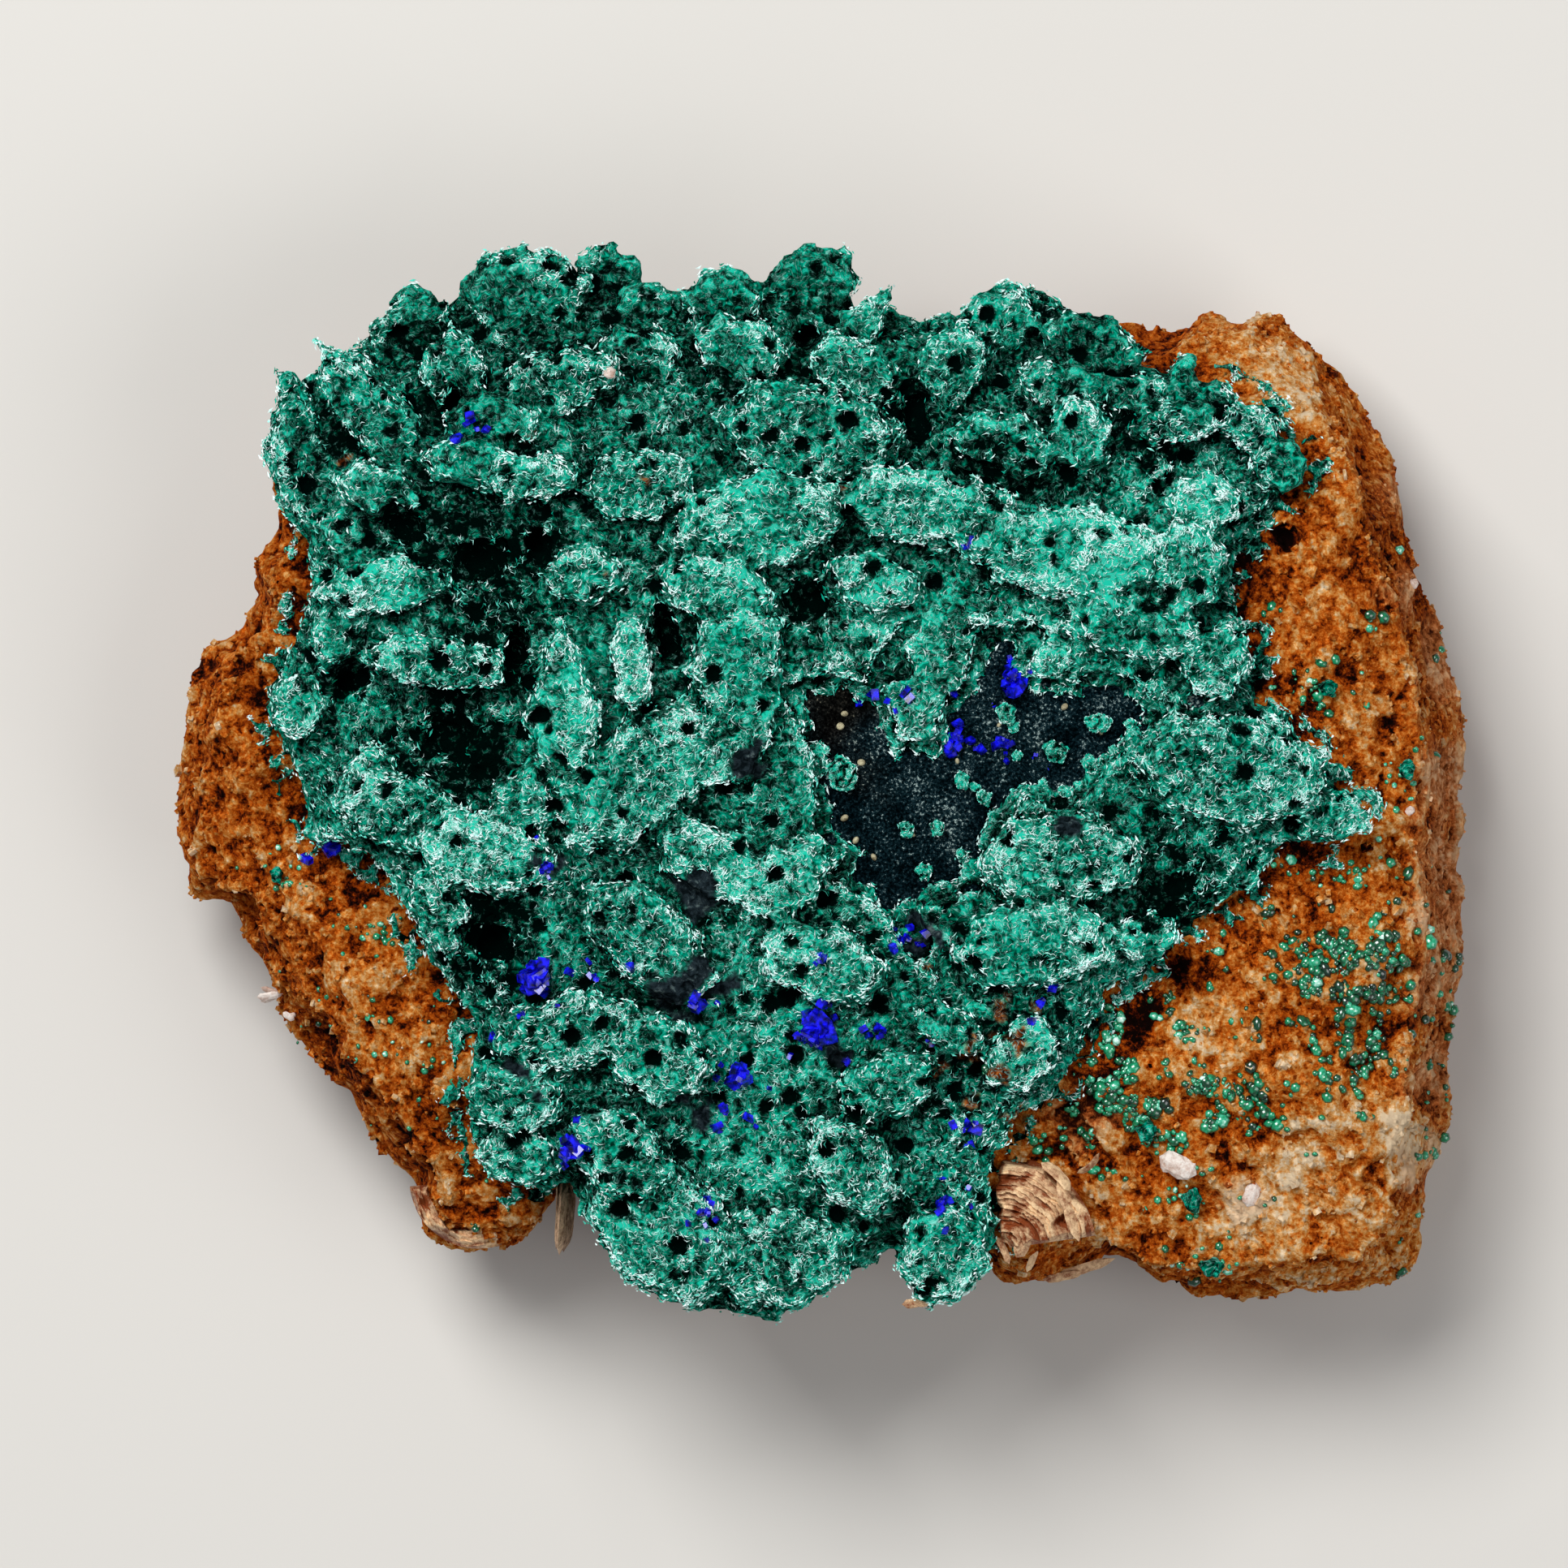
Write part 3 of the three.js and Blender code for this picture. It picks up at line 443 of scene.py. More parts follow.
def shell_arrays(shell):
    """The points and faces of a bmesh shell, which is then let go."""
    points = np.array([vertex.co for vertex in shell.verts])
    faces = np.array([[vertex.index for vertex in face.verts] for face in shell.faces])
    shell.free()
    return points, faces


def ball():
    """A round ball of 80 faces: a regular solid of twenty, each split in four and pushed to radius 1."""
    shell = bmesh.new()
    bmesh.ops.create_icosphere(shell, subdivisions=2, radius=1)
    return shell_arrays(shell)


def pebble():
    """A round ball of 36 faces, cheap enough to be repeated a thousand times."""
    shell = bmesh.new()
    bmesh.ops.create_uvsphere(shell, u_segments=6, v_segments=4, radius=1)
    bmesh.ops.triangulate(shell, faces=shell.faces)
    return shell_arrays(shell)


def block():
    """A short block with a slanted top: eight corners and twelve triangles, about 2 units across."""
    points = np.array([[x, y, z + 0.35 * x * (z > 0)] for z in (-1, 1) for y in (-0.8, 0.8) for x in (-1, 1)])
    quads = np.array([[0, 2, 3, 1], [4, 5, 7, 6], [0, 1, 5, 4], [2, 6, 7, 3], [0, 4, 6, 2], [1, 3, 7, 5]])
    return points, np.concatenate([quads[:, [0, 1, 2]], quads[:, [0, 2, 3]]])


def random_turns(count):
    """Rotation matrices from the QR split of random ones, with the last column turned to a right hand."""
    turns, _ = np.linalg.qr(rng.normal(size=(count, 3, 3)))
    turns[:, :, 2] *= np.sign(np.linalg.det(turns))[:, None]
    return turns


def copies(shape, places, sizes, turns=None):
    """Copies of a shape: each has its points scaled by its sizes, turned by its matrix, or at random,
    and moved."""
    points, faces = shape
    if turns is None:
        turns = random_turns(len(places))
    made = np.einsum("nij,nkj->nki", turns, points[None] * sizes[:, None]) + places[:, None]
    steps = np.arange(len(places))[:, None, None] * len(points)
    return made.reshape(-1, 3), (faces[None] + steps).reshape(-1, faces.shape[1])


def along_rims(mesh, spacing, sharp):
    """Points at even spacing along the edges that turn outwards by more than the sharp angle."""
    shell = bmesh.new()
    shell.from_mesh(mesh)
    rims = [edge for edge in shell.edges if edge.is_convex and edge.calc_face_angle(0) > sharp]
    ends = np.array([[edge.verts[0].co, edge.verts[1].co] for edge in rims])
    shell.free()
    lengths = np.linalg.norm(ends[:, 1] - ends[:, 0], axis=1)
    chosen = np.repeat(np.arange(len(ends)), np.maximum(1, rng.poisson(lengths / spacing)))
    share = rng.random((len(chosen), 1))
    return ends[chosen, 0] * (1 - share) + ends[chosen, 1] * share


crust_points, crust_faces, crust_merged = solid_arrays("malachite_crust")
bead_places = along_rims(crust_merged, BEAD_EVERY, np.radians(24))
over_rock = bead_places[:, 2] > sampled(height_field(rock_points), bead_places) - 0.3 * MM
bead_places = bead_places[(bead_places[:, 2] > LOW_RIM) | over_rock]
bead_sizes = rng.uniform(0.2, 0.45, (len(bead_places), 1)) * rng.uniform(0.6, 1.1, (len(bead_places), 3)) * MM
beads = copies(pebble(), bead_places, bead_sizes)
print("beads:", len(bead_places))

# %% [markdown]
# Between the large blades lies a jumble of small ones, one to three millimetres long. They are the same
# pebble pressed to a thin leaf, and each takes a random turn and sits in the upper face of the solid.
# Smaller ones creep from the crust's rim over the oxide and the rock, up to two millimetres out.

# %% Small leaves between the blades
LEAVES = 800
FAR_RIM = 28 * MM


def spread_over(points, faces, count, facing):
    """Random places on the triangles that face up by more than the given share, even by area. With a
    and b random, the place is the corner + sqrt(a) * ((1 - b) * edge1 + b * edge2)."""
    corners = points[faces]
    first, second = corners[:, 1] - corners[:, 0], corners[:, 2] - corners[:, 0]
    square = np.cross(first, second)
    area = np.linalg.norm(square, axis=1)
    chance = np.where(square[:, 2] > facing * area, area, 0)
    chosen = rng.choice(len(faces), count, p=chance / chance.sum())
    root, share = np.sqrt(rng.random((count, 1))), rng.random((count, 1))
    return corners[chosen, 0] + root * ((1 - share) * first[chosen] + share * second[chosen])


leaf_places = spread_over(crust_points, crust_faces, LEAVES, -0.1)
leaf_places = leaf_places[leaf_places[:, 1] < FAR_RIM]
leaf_sizes = rng.uniform((0.5, 0.35, 0.15), (1.35, 0.9, 0.3), leaf_places.shape)
leaves = copies(pebble(), leaf_places, leaf_sizes * MM)

covered = np.zeros(FIELD_SHAPE, dtype=bool)
covered[squares_of(spread_over(crust_points, crust_faces, 200000, -2))] = True


def creeping(field, count, reach):
    """Places on the field's top, outside the crust and within reach of it."""
    wide = covered.copy()
    for _ in range(int(reach / FIELD_STEP)):
        wide = wide | highest_beside(wide)
    free = np.argwhere(wide & ~covered & (field > 15 * MM))
    flat = FIELD_LOW + (free[rng.choice(len(free), count)] + rng.random((count, 2))) * FIELD_STEP
    return np.column_stack([flat, sampled(field, flat) + 0.1 * MM])


rock_field = height_field(rock_points)
rock_field[film_field > 8 * MM] = 0
on_film, on_rock = creeping(film_field, 420, 1.2 * MM), creeping(rock_field, 600, 1.8 * MM)
film_sizes = rng.uniform((0.4, 0.3, 0.25), (1.0, 0.7, 0.4), on_film.shape)
rock_sizes = rng.uniform((0.2, 0.15, 0.15), (0.7, 0.6, 0.45), on_rock.shape)
creepers = [copies(pebble(), on_film, film_sizes * MM), copies(pebble(), on_rock, rock_sizes * MM)]

# %% [markdown]
# ## Lumps and pits
#
# The net is moved along its normals by lumps of 3.5 mm and folds of 1.7 mm and 0.9 mm, and its low
# skirt, below 17 mm, by lumps of a few millimetres more. Pits are round holes about a millimetre
# across, pushed straight in at scattered places: the shift at a distance d from the middle of a pit of
# radius r is its depth times exp(-(d/r)^4). For each pit only the points beside it are worked out.

# %% The crust's shape
PITS = 470
SKIRT_TOP = 17 * MM


def crust_relief(points):
    """The sum of the lumps and folds at each point."""
    moved_on = bent(points, 2 * MM, 0.5 * MM, 11)
    lumps = 0.1 * waves(moved_on, 3.5 * MM, 14) + 0.12 * crests(moved_on, 1.7 * MM, 15)
    skirt = np.clip((SKIRT_TOP - points[:, 2]) / (4 * MM), 0, 1)
    lumps += skirt * (0.7 * waves(moved_on, 3.4 * MM, 20) + 0.3 * crests(moved_on, 1.9 * MM, 21))
    return MM * (lumps + 0.13 * crests(moved_on, 0.9 * MM, 16))


def pit_depths(points, places, radii, depths):
    """The deepest of depth * exp(-(d/r)^4) over all pits, for each point."""
    deepest = np.zeros(len(points))
    for place, radius, depth in zip(places, radii, depths):
        near = np.flatnonzero(np.abs(points[:, 0] - place[0]) < 2 * radius)
        near = near[np.abs(points[near, 1] - place[1]) < 2 * radius]
        away = np.linalg.norm(points[near] - place, axis=1)
        deepest[near] = np.maximum(deepest[near], depth * np.exp(-((away / radius) ** 4)))
    return deepest


crust_shells = [(crust_points, crust_faces), beads, leaves, *creepers]
crust_mesh, crust_points, crust_normals = even_net("malachite_blades", crust_shells, CRUST_CELL)
crust_points = crust_points + crust_normals * (crust_relief(crust_points) - 0.1 * MM)[:, None]
upward = np.flatnonzero(crust_normals[:, 2] > 0.35)
pit_places = crust_points[rng.choice(upward, PITS, replace=False)]
pit_radii = rng.uniform(0.34, 0.68, PITS) * MM
ragged_points = bent(crust_points, 0.7 * MM, 0.14 * MM, 17)
pits = pit_depths(ragged_points, pit_places, pit_radii, rng.uniform(0.9, 1.8, PITS) * pit_radii)
crust_points = crust_points - crust_normals * pits[:, None]
moved(crust_mesh, crust_points)
crust_ridge = ridges(crust_mesh, crust_points, normals_of(crust_mesh), 9, 0.22 * MM)

# %% [markdown]
# ## How much sky each spot sees
#
# The velvet is drawn thicker on the open tops of the blades and thinner deep in the gaps, and the
# materials paint light and shade by the same measure: painted light on the open tops, and painted
# shade deep in the gaps, so dark there that it looks black. The height field of the whole face, of
# crust, rock and oxide, shows which is which: the steepest slope up from a square is its horizon in
# that direction, and what lies above the horizons of all directions is the sky that it sees.

# %% Sky over the face
HORIZONS = 12
REACHES = (0.4, 0.8, 1.3, 2.0, 3.0, 4.5, 6.5)


def sky_of(field):
    """One minus the sine of the horizon's angle, averaged over the directions."""
    total = np.zeros(FIELD_SHAPE)
    for angle in np.arange(HORIZONS) * 2 * np.pi / HORIZONS:
        steepest = np.zeros(FIELD_SHAPE)
        for reach in REACHES:
            steps = np.rint(reach * MM / FIELD_STEP * np.array([np.cos(angle), np.sin(angle)])).astype(int)
            rise = np.roll(field, tuple(-steps), (0, 1)) - field
            steepest = np.maximum(steepest, rise / (FIELD_STEP * np.hypot(*steps)))
        total += 1 - steepest / np.sqrt(1 + steepest**2)
    return total / HORIZONS


face_field = height_field(rock_points, crust_points, oxide_points)
sky_field = sky_of(face_field)


def open_share(points):
    """The sky that a point sees, less for a point that lies far under the field's top."""
    buried = np.maximum(0, sampled(face_field, points) - points[:, 2])
    return sampled(sky_field, points) * (0.3 + 0.7 * np.exp(-buried / (1.6 * MM)))


beyond = 1 - sampled(covered.astype(float), crust_points)
crust_open = np.maximum(open_share(crust_points), 0.5 * beyond)
print("sky seen by the crust:", np.round(np.percentile(crust_open, (5, 25, 50, 75, 95)), 2))

# %% [markdown]
# Some hollows get painted shade and some stretches painted light, and here and there the crust is so
# thin that the black oxide or the rust shows through. Each of these is a short list of places, and the
# materials read its sum as a number at each point.

# %% Painted shade in hollows, painted light on stretches, and bare spots
SHADED_HOLLOWS = [
    (-24.4, 16, 4.6, 1.3), (-27, 3.6, 4.2, 1.1), (-23.8, -11.8, 3.3, 1.5), (-0.9, 12.9, 2.8, 0.8),
    (25.8, -7.6, 3, 1.1), (23.5, 22.9, 2.8, 0.9), (-30.2, 18.2, 2.8, 0.8), (-20.5, 16.1, 1.8, 0.9),
    (-33.7, 7.3, 2.2, 0.9), (6.9, 26.4, 2.2, 1), (-0.9, 32, 1.6, 0.9), (-10.8, 10.3, 1.6, 0.9),
    (-34, 24, 1.4, 1), (-27.5, 27, 1.5, 0.9), (12.5, 22.5, 2.4, 0.8), (-12, 0, 2, 0.5),
    (-16.5, 21.5, 1.6, 0.7), (3, -25.5, 1.8, 0.5), (-13.5, -29.5, 1.7, 0.7), (31, 12.5, 1.8, 0.6),
    (-9, -9.5, 1.5, 0.5), (-21, 30, 2, 0.5), (18.5, 31, 2.5, 0.5), (-6, 27, 1.6, 0.6), (-32, -3, 1.7, 0.5),
    (-19.7, 17.8, 1.8, 0.9), (-21.5, 7.7, 1.6, 0.9), (-24, 1.6, 2.2, 0.8), (-12.4, 4.4, 1.4, 0.9),
    (24.5, -9, 2, 0.8),
]
LIT_STRETCHES = [
    (22, 17, 6, 0.8), (-4, 18, 5.5, 0.8), (-31, 13.5, 3.5, 0.7), (16.5, 13.5, 4, 0.7), (-14, 5.5, 4.5, 0.5),
    (-18.5, -3.5, 4.5, 0.6), (-4.5, -9, 4.5, 0.5), (5, 12, 3.5, 0.6), (-8, -24, 4, 0.5),
    (28.5, 22, 2.5, 0.5), (13, -9.5, 4, 0.5), (-25.5, -5.5, 3, 0.5), (20, -12.5, 3.5, 0.5),
    (9, 20, 2.5, 0.5), (-21, 24, 2.5, 0.5),
]
SMOOTH_FLATS = [
    (-23.5, 26.3, 3, 1), (-25.5, 22.6, 2.2, 0.8), (5.5, -26, 2, 0.9), (9, -18, 2.4, 0.8),
    (12.5, -5.2, 3.2, 0.7), (19.7, 30, 3.6, 1), (-0.5, 35.5, 3.6, 1), (-14, 35.5, 4, 1),
    (-22.5, 34.5, 4.5, 1), (12.5, 33.5, 2.6, 1), (-6.8, 35, 3, 0.9), (-30, 33, 3, 0.9), (26.5, 28, 3, 1),
    (33.4, 22.8, 2.6, 0.9), (-38.5, 24, 2.4, 0.8),
]
BARE_OXIDE = [
    (-4.8, 1, 1.3, 1), (-8.2, -8.2, 1.6, 1), (-9.4, -15.6, 2.4, 1), (-6.6, -14.2, 1.6, 0.9),
    (-19.2, -6.6, 1.1, 1), (-21, -21, 1.4, 0.9), (17.9, -3.5, 1.2, 0.9), (0.8, -18.4, 1.8, 0.9),
    (-8.6, -24, 1.3, 0.8), (7.5, -11.2, 1, 0.9),
]
BARE_RUST = [
    (-20.8, 24.6, 0.3, 1), (-34.3, 22.9, 0.35, 1), (1.6, 21.1, 0.3, 1), (-15.5, 15, 0.3, 1),
    (-12.6, 21.4, 0.3, 1), (-35.2, -7, 0.5, 0.9), (-26.8, -17.4, 0.4, 0.8), (13.4, -15.6, 0.3, 0.8),
    (12.6, -17.2, 0.7, 0.9), (14.6, -18.8, 0.8, 1), (10.8, -19.6, 0.6, 0.9), (13, -21.2, 0.8, 1),
    (11.2, -23.2, 0.7, 0.9), (9, -21, 0.5, 0.9), (15.6, -16.4, 0.6, 0.9), (13.8, -24.2, 0.6, 0.9),
    (7.6, -13.6, 0.5, 0.9),
]
# The shade number is painted light on the lit stretches less painted shade in the hollows.
crust_shade = patches(crust_points, LIT_STRETCHES, 71) - patches(crust_points, SHADED_HOLLOWS, 72, 0.25)
crust_flat = np.clip(patches(crust_points, SMOOTH_FLATS, 73), 0, 1)
crust_film = np.clip(4 * patches(crust_points, BARE_OXIDE, 74, 0.6) - 1.5, 0, 1)
crust_rust = np.clip(4 * patches(crust_points, BARE_RUST, 75, 0.8) - 1.5, 0, 1)

# %% [markdown]
# The crust's back lies against the rock and is never seen, so it doesn't need the fine net.

# %% The crust as a piece
CRUST_GOAL = 192000
crust_back = (crust_normals[:, 2] < -0.25) & (crust_open < 0.5)
# open, ridge and pit are painted light and shade: paler where the crust sees more sky and on ridges, darker
# in creases and pits. shade is painted light on the stretches less painted shade in the hollows.
paint(crust_mesh, open=crust_open, ridge=crust_ridge, pit=pits / (1.2 * MM))
paint(crust_mesh, shade=crust_shade, film=crust_film, rust=crust_rust)
crust_mesh = thinned(crust_mesh, crust_back, CRUST_GOAL)
crust = piece("malachite_blades", crust_mesh, ["malachite_crust"])

# %% [markdown]
# ## Tufts on the oxide
#
# A few rosettes of malachite stand free in the window. Each is a ring of small leaves over the
# footprint of its solid, drawn as one skin with a finer net than the crust's, and roughened. The tufts
# too small for a solid are rows of x, y, length, width and height in mm.

# %% The tufts
TUFT_CELL = 0.14 * MM
SMALL_TUFTS = [
    (14, 3.8, 1.2, 1.1, 0.8), (14.2, 1.7, 1, 1, 0.8), (22.3, 3.9, 1.3, 1.4, 1), (16.1, -0.3, 0.9, 1.2, 0.7),
    (18.6, -0.4, 1.2, 1, 0.8), (11.2, -0.6, 1.2, 0.9, 0.8), (13.9, -4.9, 1.6, 1.4, 1), (7, 5, 1.8, 1.2, 1),
    (7.9, 2.4, 1, 0.9, 0.8), (21.2, 2, 1, 1.3, 0.9), (-0.9, -4.1, 1.3, 1.5, 1), (0.9, -5.3, 1.3, 1.3, 1),
]


def rosette(low, high, count):
    """Leaves inside a box. Leaf k points outwards at 2.4 * k radians, and leans from upright in the
    middle to nearly flat at the rim, as the golden angle places them."""
    middle, half = (low + high) / 2, (high - low) / 2
    around, out = 2.4 * np.arange(count), np.sqrt((np.arange(count) + 0.5) / count)
    lean = np.radians(20 + 62 * out)[:, None]
    outward = np.stack([np.cos(around), np.sin(around), np.zeros(count)], axis=1)
    upright = np.array([0, 0, 1])
    long_way = outward * np.sin(lean) + upright * np.cos(lean)
    face_way = upright * np.sin(lean) - outward * np.cos(lean)
    turns = np.stack([long_way, np.cross(face_way, long_way), face_way], axis=2)
    places = middle + outward * half * 0.5 * out[:, None] - upright * half[2] * (0.25 + 0.3 * out[:, None])
    sizes = half[:2].mean() * np.array([0.55, 0.42, 0.16]) * rng.uniform(0.75, 1.15, (count, 3))
    core = copies(ball(), middle[None] - [[0, 0, 0.4 * half[2]]], half[None] * 0.55, np.eye(3)[None])
    return joined([copies(ball(), places, sizes, turns), core])


def small_box(x, y, length, width, height):
    """The low and high corners of a small tuft's box, which stands on the oxide."""
    low = np.array([(x - length / 2) * MM, (y - width / 2) * MM, height_at(film_field, x, y)])
    return low, low + np.array([length, width, height]) * MM


TUFTS = names_of("malachite_tuft")
tuft_boxes = [box_of(name) for name in TUFTS] + [small_box(*row) for row in SMALL_TUFTS]
tuft_shells = [rosette(low, high, 11) for low, high in tuft_boxes]
tuft_mesh, tuft_points, tuft_normals = even_net("malachite_tufts", tuft_shells, TUFT_CELL)
tuft_shift = 0.12 * waves(tuft_points, 0.5 * MM, 41) + 0.05 * crests(tuft_points, 0.3 * MM, 42)
tuft_points = tuft_points + tuft_normals * MM * tuft_shift[:, None]
moved(tuft_mesh, tuft_points)
tuft_ridge = ridges(tuft_mesh, tuft_points, tuft_normals, 5, 0.05 * MM)
# open and shade are painted light and shade here: paler where the face looks up and on the rims, darker
# elsewhere.
paint(tuft_mesh, open=0.5 + 0.35 * tuft_normals[:, 2], ridge=tuft_ridge, shade=0.9 * tuft_ridge - 0.4)
tufts = piece("malachite_tufts", tuft_mesh, TUFTS)

# %% [markdown]
# ## Velvet
#
# Malachite velvet is a pile of fibres and tiny curled sheets that stand on end, so that one sees their
# edges: thin, bent, pale strokes. A hair system would show this best, but the model has to be plain
# mesh, so each stroke is a closed sliver of five points and six faces. It is bent in the middle,
# pointed at both ends and has a ridge along its top. Strokes stand on the tufts' rims too.

# %% Velvet strokes
STROKES_A_PIECE = 32000
TUFT_STROKES = 1700


def strokes(places, normals, lengths, widths, heights):
    """With n the normal, t a random tangent, b = n x t and a = sweep * u / 2, the arc is place +
    (length / sweep) * (sin(a) * t + (1 - cos(a)) * b) for u = -1, 0 and 1. It is a point at its two
    ends, and a triangle in the middle: width / 2 to each side and height up. Lengths, widths and
    heights are ranges in mm."""
    count = len(places)
    length, sweep = rng.uniform(*lengths, count) * MM, rng.uniform(0.5, 3.0, count)
    width, height = rng.uniform(*widths, count) * MM, rng.uniform(*heights, count) * MM
    across = np.cross(normals, rng.normal(size=normals.shape))
    across /= np.linalg.norm(across, axis=1, keepdims=True)
    along = np.cross(across, normals)
    bend = (length / sweep)[:, None]
    stations = []
    for u in (-1, 0, 1):
        a = (sweep * u / 2)[:, None]
        middle = places + bend * (np.sin(a) * along + (1 - np.cos(a)) * across)
        side = 0.5 * width[:, None] * (np.cos(a) * across - np.sin(a) * along)
        if u:
            stations += [middle + 0.5 * height[:, None] * normals]
        else:
            stations += [middle - side, middle + side, middle + height[:, None] * normals]
    points = np.stack(stations, axis=1) - 0.03 * MM * normals[:, None]
    halves = [[0, 2, 1], [0, 3, 2], [0, 1, 3], [4, 1, 2], [4, 2, 3], [4, 3, 1]]
    faces = np.array(halves)[None] + 5 * np.arange(count)[:, None, None]
    return points.reshape(-1, 3), faces.reshape(-1, 3)


def velvet_piece(name, points, faces, shine, tint):
    """Strokes as a piece, with a shine and a tint for each of a stroke's five points."""
    mesh = mesh_from(name, points, faces)
    paint(mesh, open=shine, tint=tint)
    return piece(name, mesh, smooth=False)


rims = np.flatnonzero((tuft_ridge > -0.2) & (tuft_normals[:, 2] > 0))
tuft_at = rng.choice(rims, TUFT_STROKES, p=(tuft_ridge[rims] + 0.25) / np.sum(tuft_ridge[rims] + 0.25))
tuft_strokes = strokes(tuft_points[tuft_at], tuft_normals[tuft_at], (0.15, 0.45), (0.04, 0.08), (0.04, 0.1))
# The tuft strokes' shine is painted light: paler on the rims.
tuft_shine, tuft_tint = np.repeat([0.36 + 0.3 * tuft_ridge[tuft_at], rng.random(TUFT_STROKES)], 5, axis=1)
velvets = [velvet_piece("tuft_velvet", *tuft_strokes, tuft_shine, tuft_tint)]

velvet_open = crust_open + 0.35 * crust_shade + 0.3 * crust_ridge
hidden = np.maximum(np.maximum(crust_film, crust_rust) - 0.4, np.maximum(crust_flat - 0.75, pits / MM - 0.2))
thick = waves(crust_points, 2.5 * MM, 51) + 0.5 * waves(crust_points, 6 * MM, 52)
velvet_ground = np.flatnonzero((crust_normals[:, 2] > -0.1) & (velvet_open > 0.2) & (hidden < 0))
chance = velvet_open[velvet_ground] * (0.25 + np.clip(0.5 + thick[velvet_ground], 0, 1))
chosen = rng.choice(velvet_ground, 2 * STROKES_A_PIECE, p=chance / chance.sum())
feet = crust_points[chosen] + rng.uniform(-0.5, 0.5, (len(chosen), 3)) * CRUST_CELL * [1, 1, 0.2]
stroke_points, stroke_faces = strokes(feet, crust_normals[chosen], (0.25, 0.75), (0.05, 0.11), (0.05, 0.18))
# The shine is painted light: strokes paler where the crust sees more sky, on ridges and on lit stretches,
# darker in shaded hollows.
shine, tint = np.repeat([0.2 + 0.7 * velvet_open[chosen], rng.random(len(chosen))], 5, axis=1)
west = np.repeat(crust_points[chosen, 0] < np.median(crust_points[chosen, 0]), 5)
for side, kept in (("west", west), ("east", ~west)):
    renumbered = np.cumsum(kept) - 1
    faces = renumbered[stroke_faces[kept[stroke_faces[:, 0]]]]
    half = (stroke_points[kept], faces, shine[kept], tint[kept])
    velvets.append(velvet_piece("malachite_velvet_" + side, *half))

# %% [markdown]
# ## Colour helpers
#
# Colours are written as sRGB hex values, as a colour picker shows them, and one function turns them
# into the linear values that Blender's shaders work with. One more adds a node with its settings and
# links, and ramps take a list of stops.

# %% Nodes


def linear(text):
    """Each sRGB channel c from 0 to 1 becomes ((c + 0.055) / 1.055)^2.4, or c / 12.92 if it is dark."""
    channels = np.array([int(text[i : i + 2], 16) for i in (1, 3, 5)]) / 255
    bright = ((channels + 0.055) / 1.055) ** 2.4
    return (*np.where(channels > 0.04045, bright, channels / 12.92), 1.0)


def wire(node, inputs):
    """Sets each named input to a value, or links it to an output or to the first output of a node."""
    for name, value in inputs.items():
        source = value.outputs[0] if isinstance(value, bpy.types.Node) else value
        if isinstance(source, bpy.types.NodeSocket):
            node.id_data.links.new(source, node.inputs[name])
        else:
            node.inputs[name].default_value = source


def add(material, kind, inputs=None, **settings):
    """A new node with its own settings, and its inputs wired."""
    made = material.node_tree.nodes.new("ShaderNode" + kind)
    for name, value in settings.items():
        setattr(made, name, value)
    wire(made, inputs or {})
    return made


def stops(ramp, *colours):
    """Gives a ramp its stops, as pairs of a place and a colour."""
    elements = ramp.color_ramp.elements
    while len(elements) < len(colours):
        elements.new(0.5)
    for element, (place, colour) in zip(elements, colours):
        element.position = place
        element.color = linear(colour)
    return ramp


def new_material(name, roughness, ior, gloss, *layers):
    """A material with its shader's plain sockets set, the object's coordinates in metres, and the
    numbers that paint stored under the names of the layers."""
    material = bpy.data.materials.new(name)
    material.use_nodes = True
    shader = material.node_tree.nodes["Principled BSDF"]
    wire(shader, {"Roughness": roughness, "IOR": ior, "Specular IOR Level": gloss})
    place = add(material, "TexCoord").outputs["Object"]
    painted = [add(material, "Attribute", attribute_name=layer).outputs["Fac"] for layer in layers]
    return material, shader, place, *painted


def dress(material, *dressed):
    """Gives the pieces the material."""
    for each in dressed:
        each.data.materials.append(material)
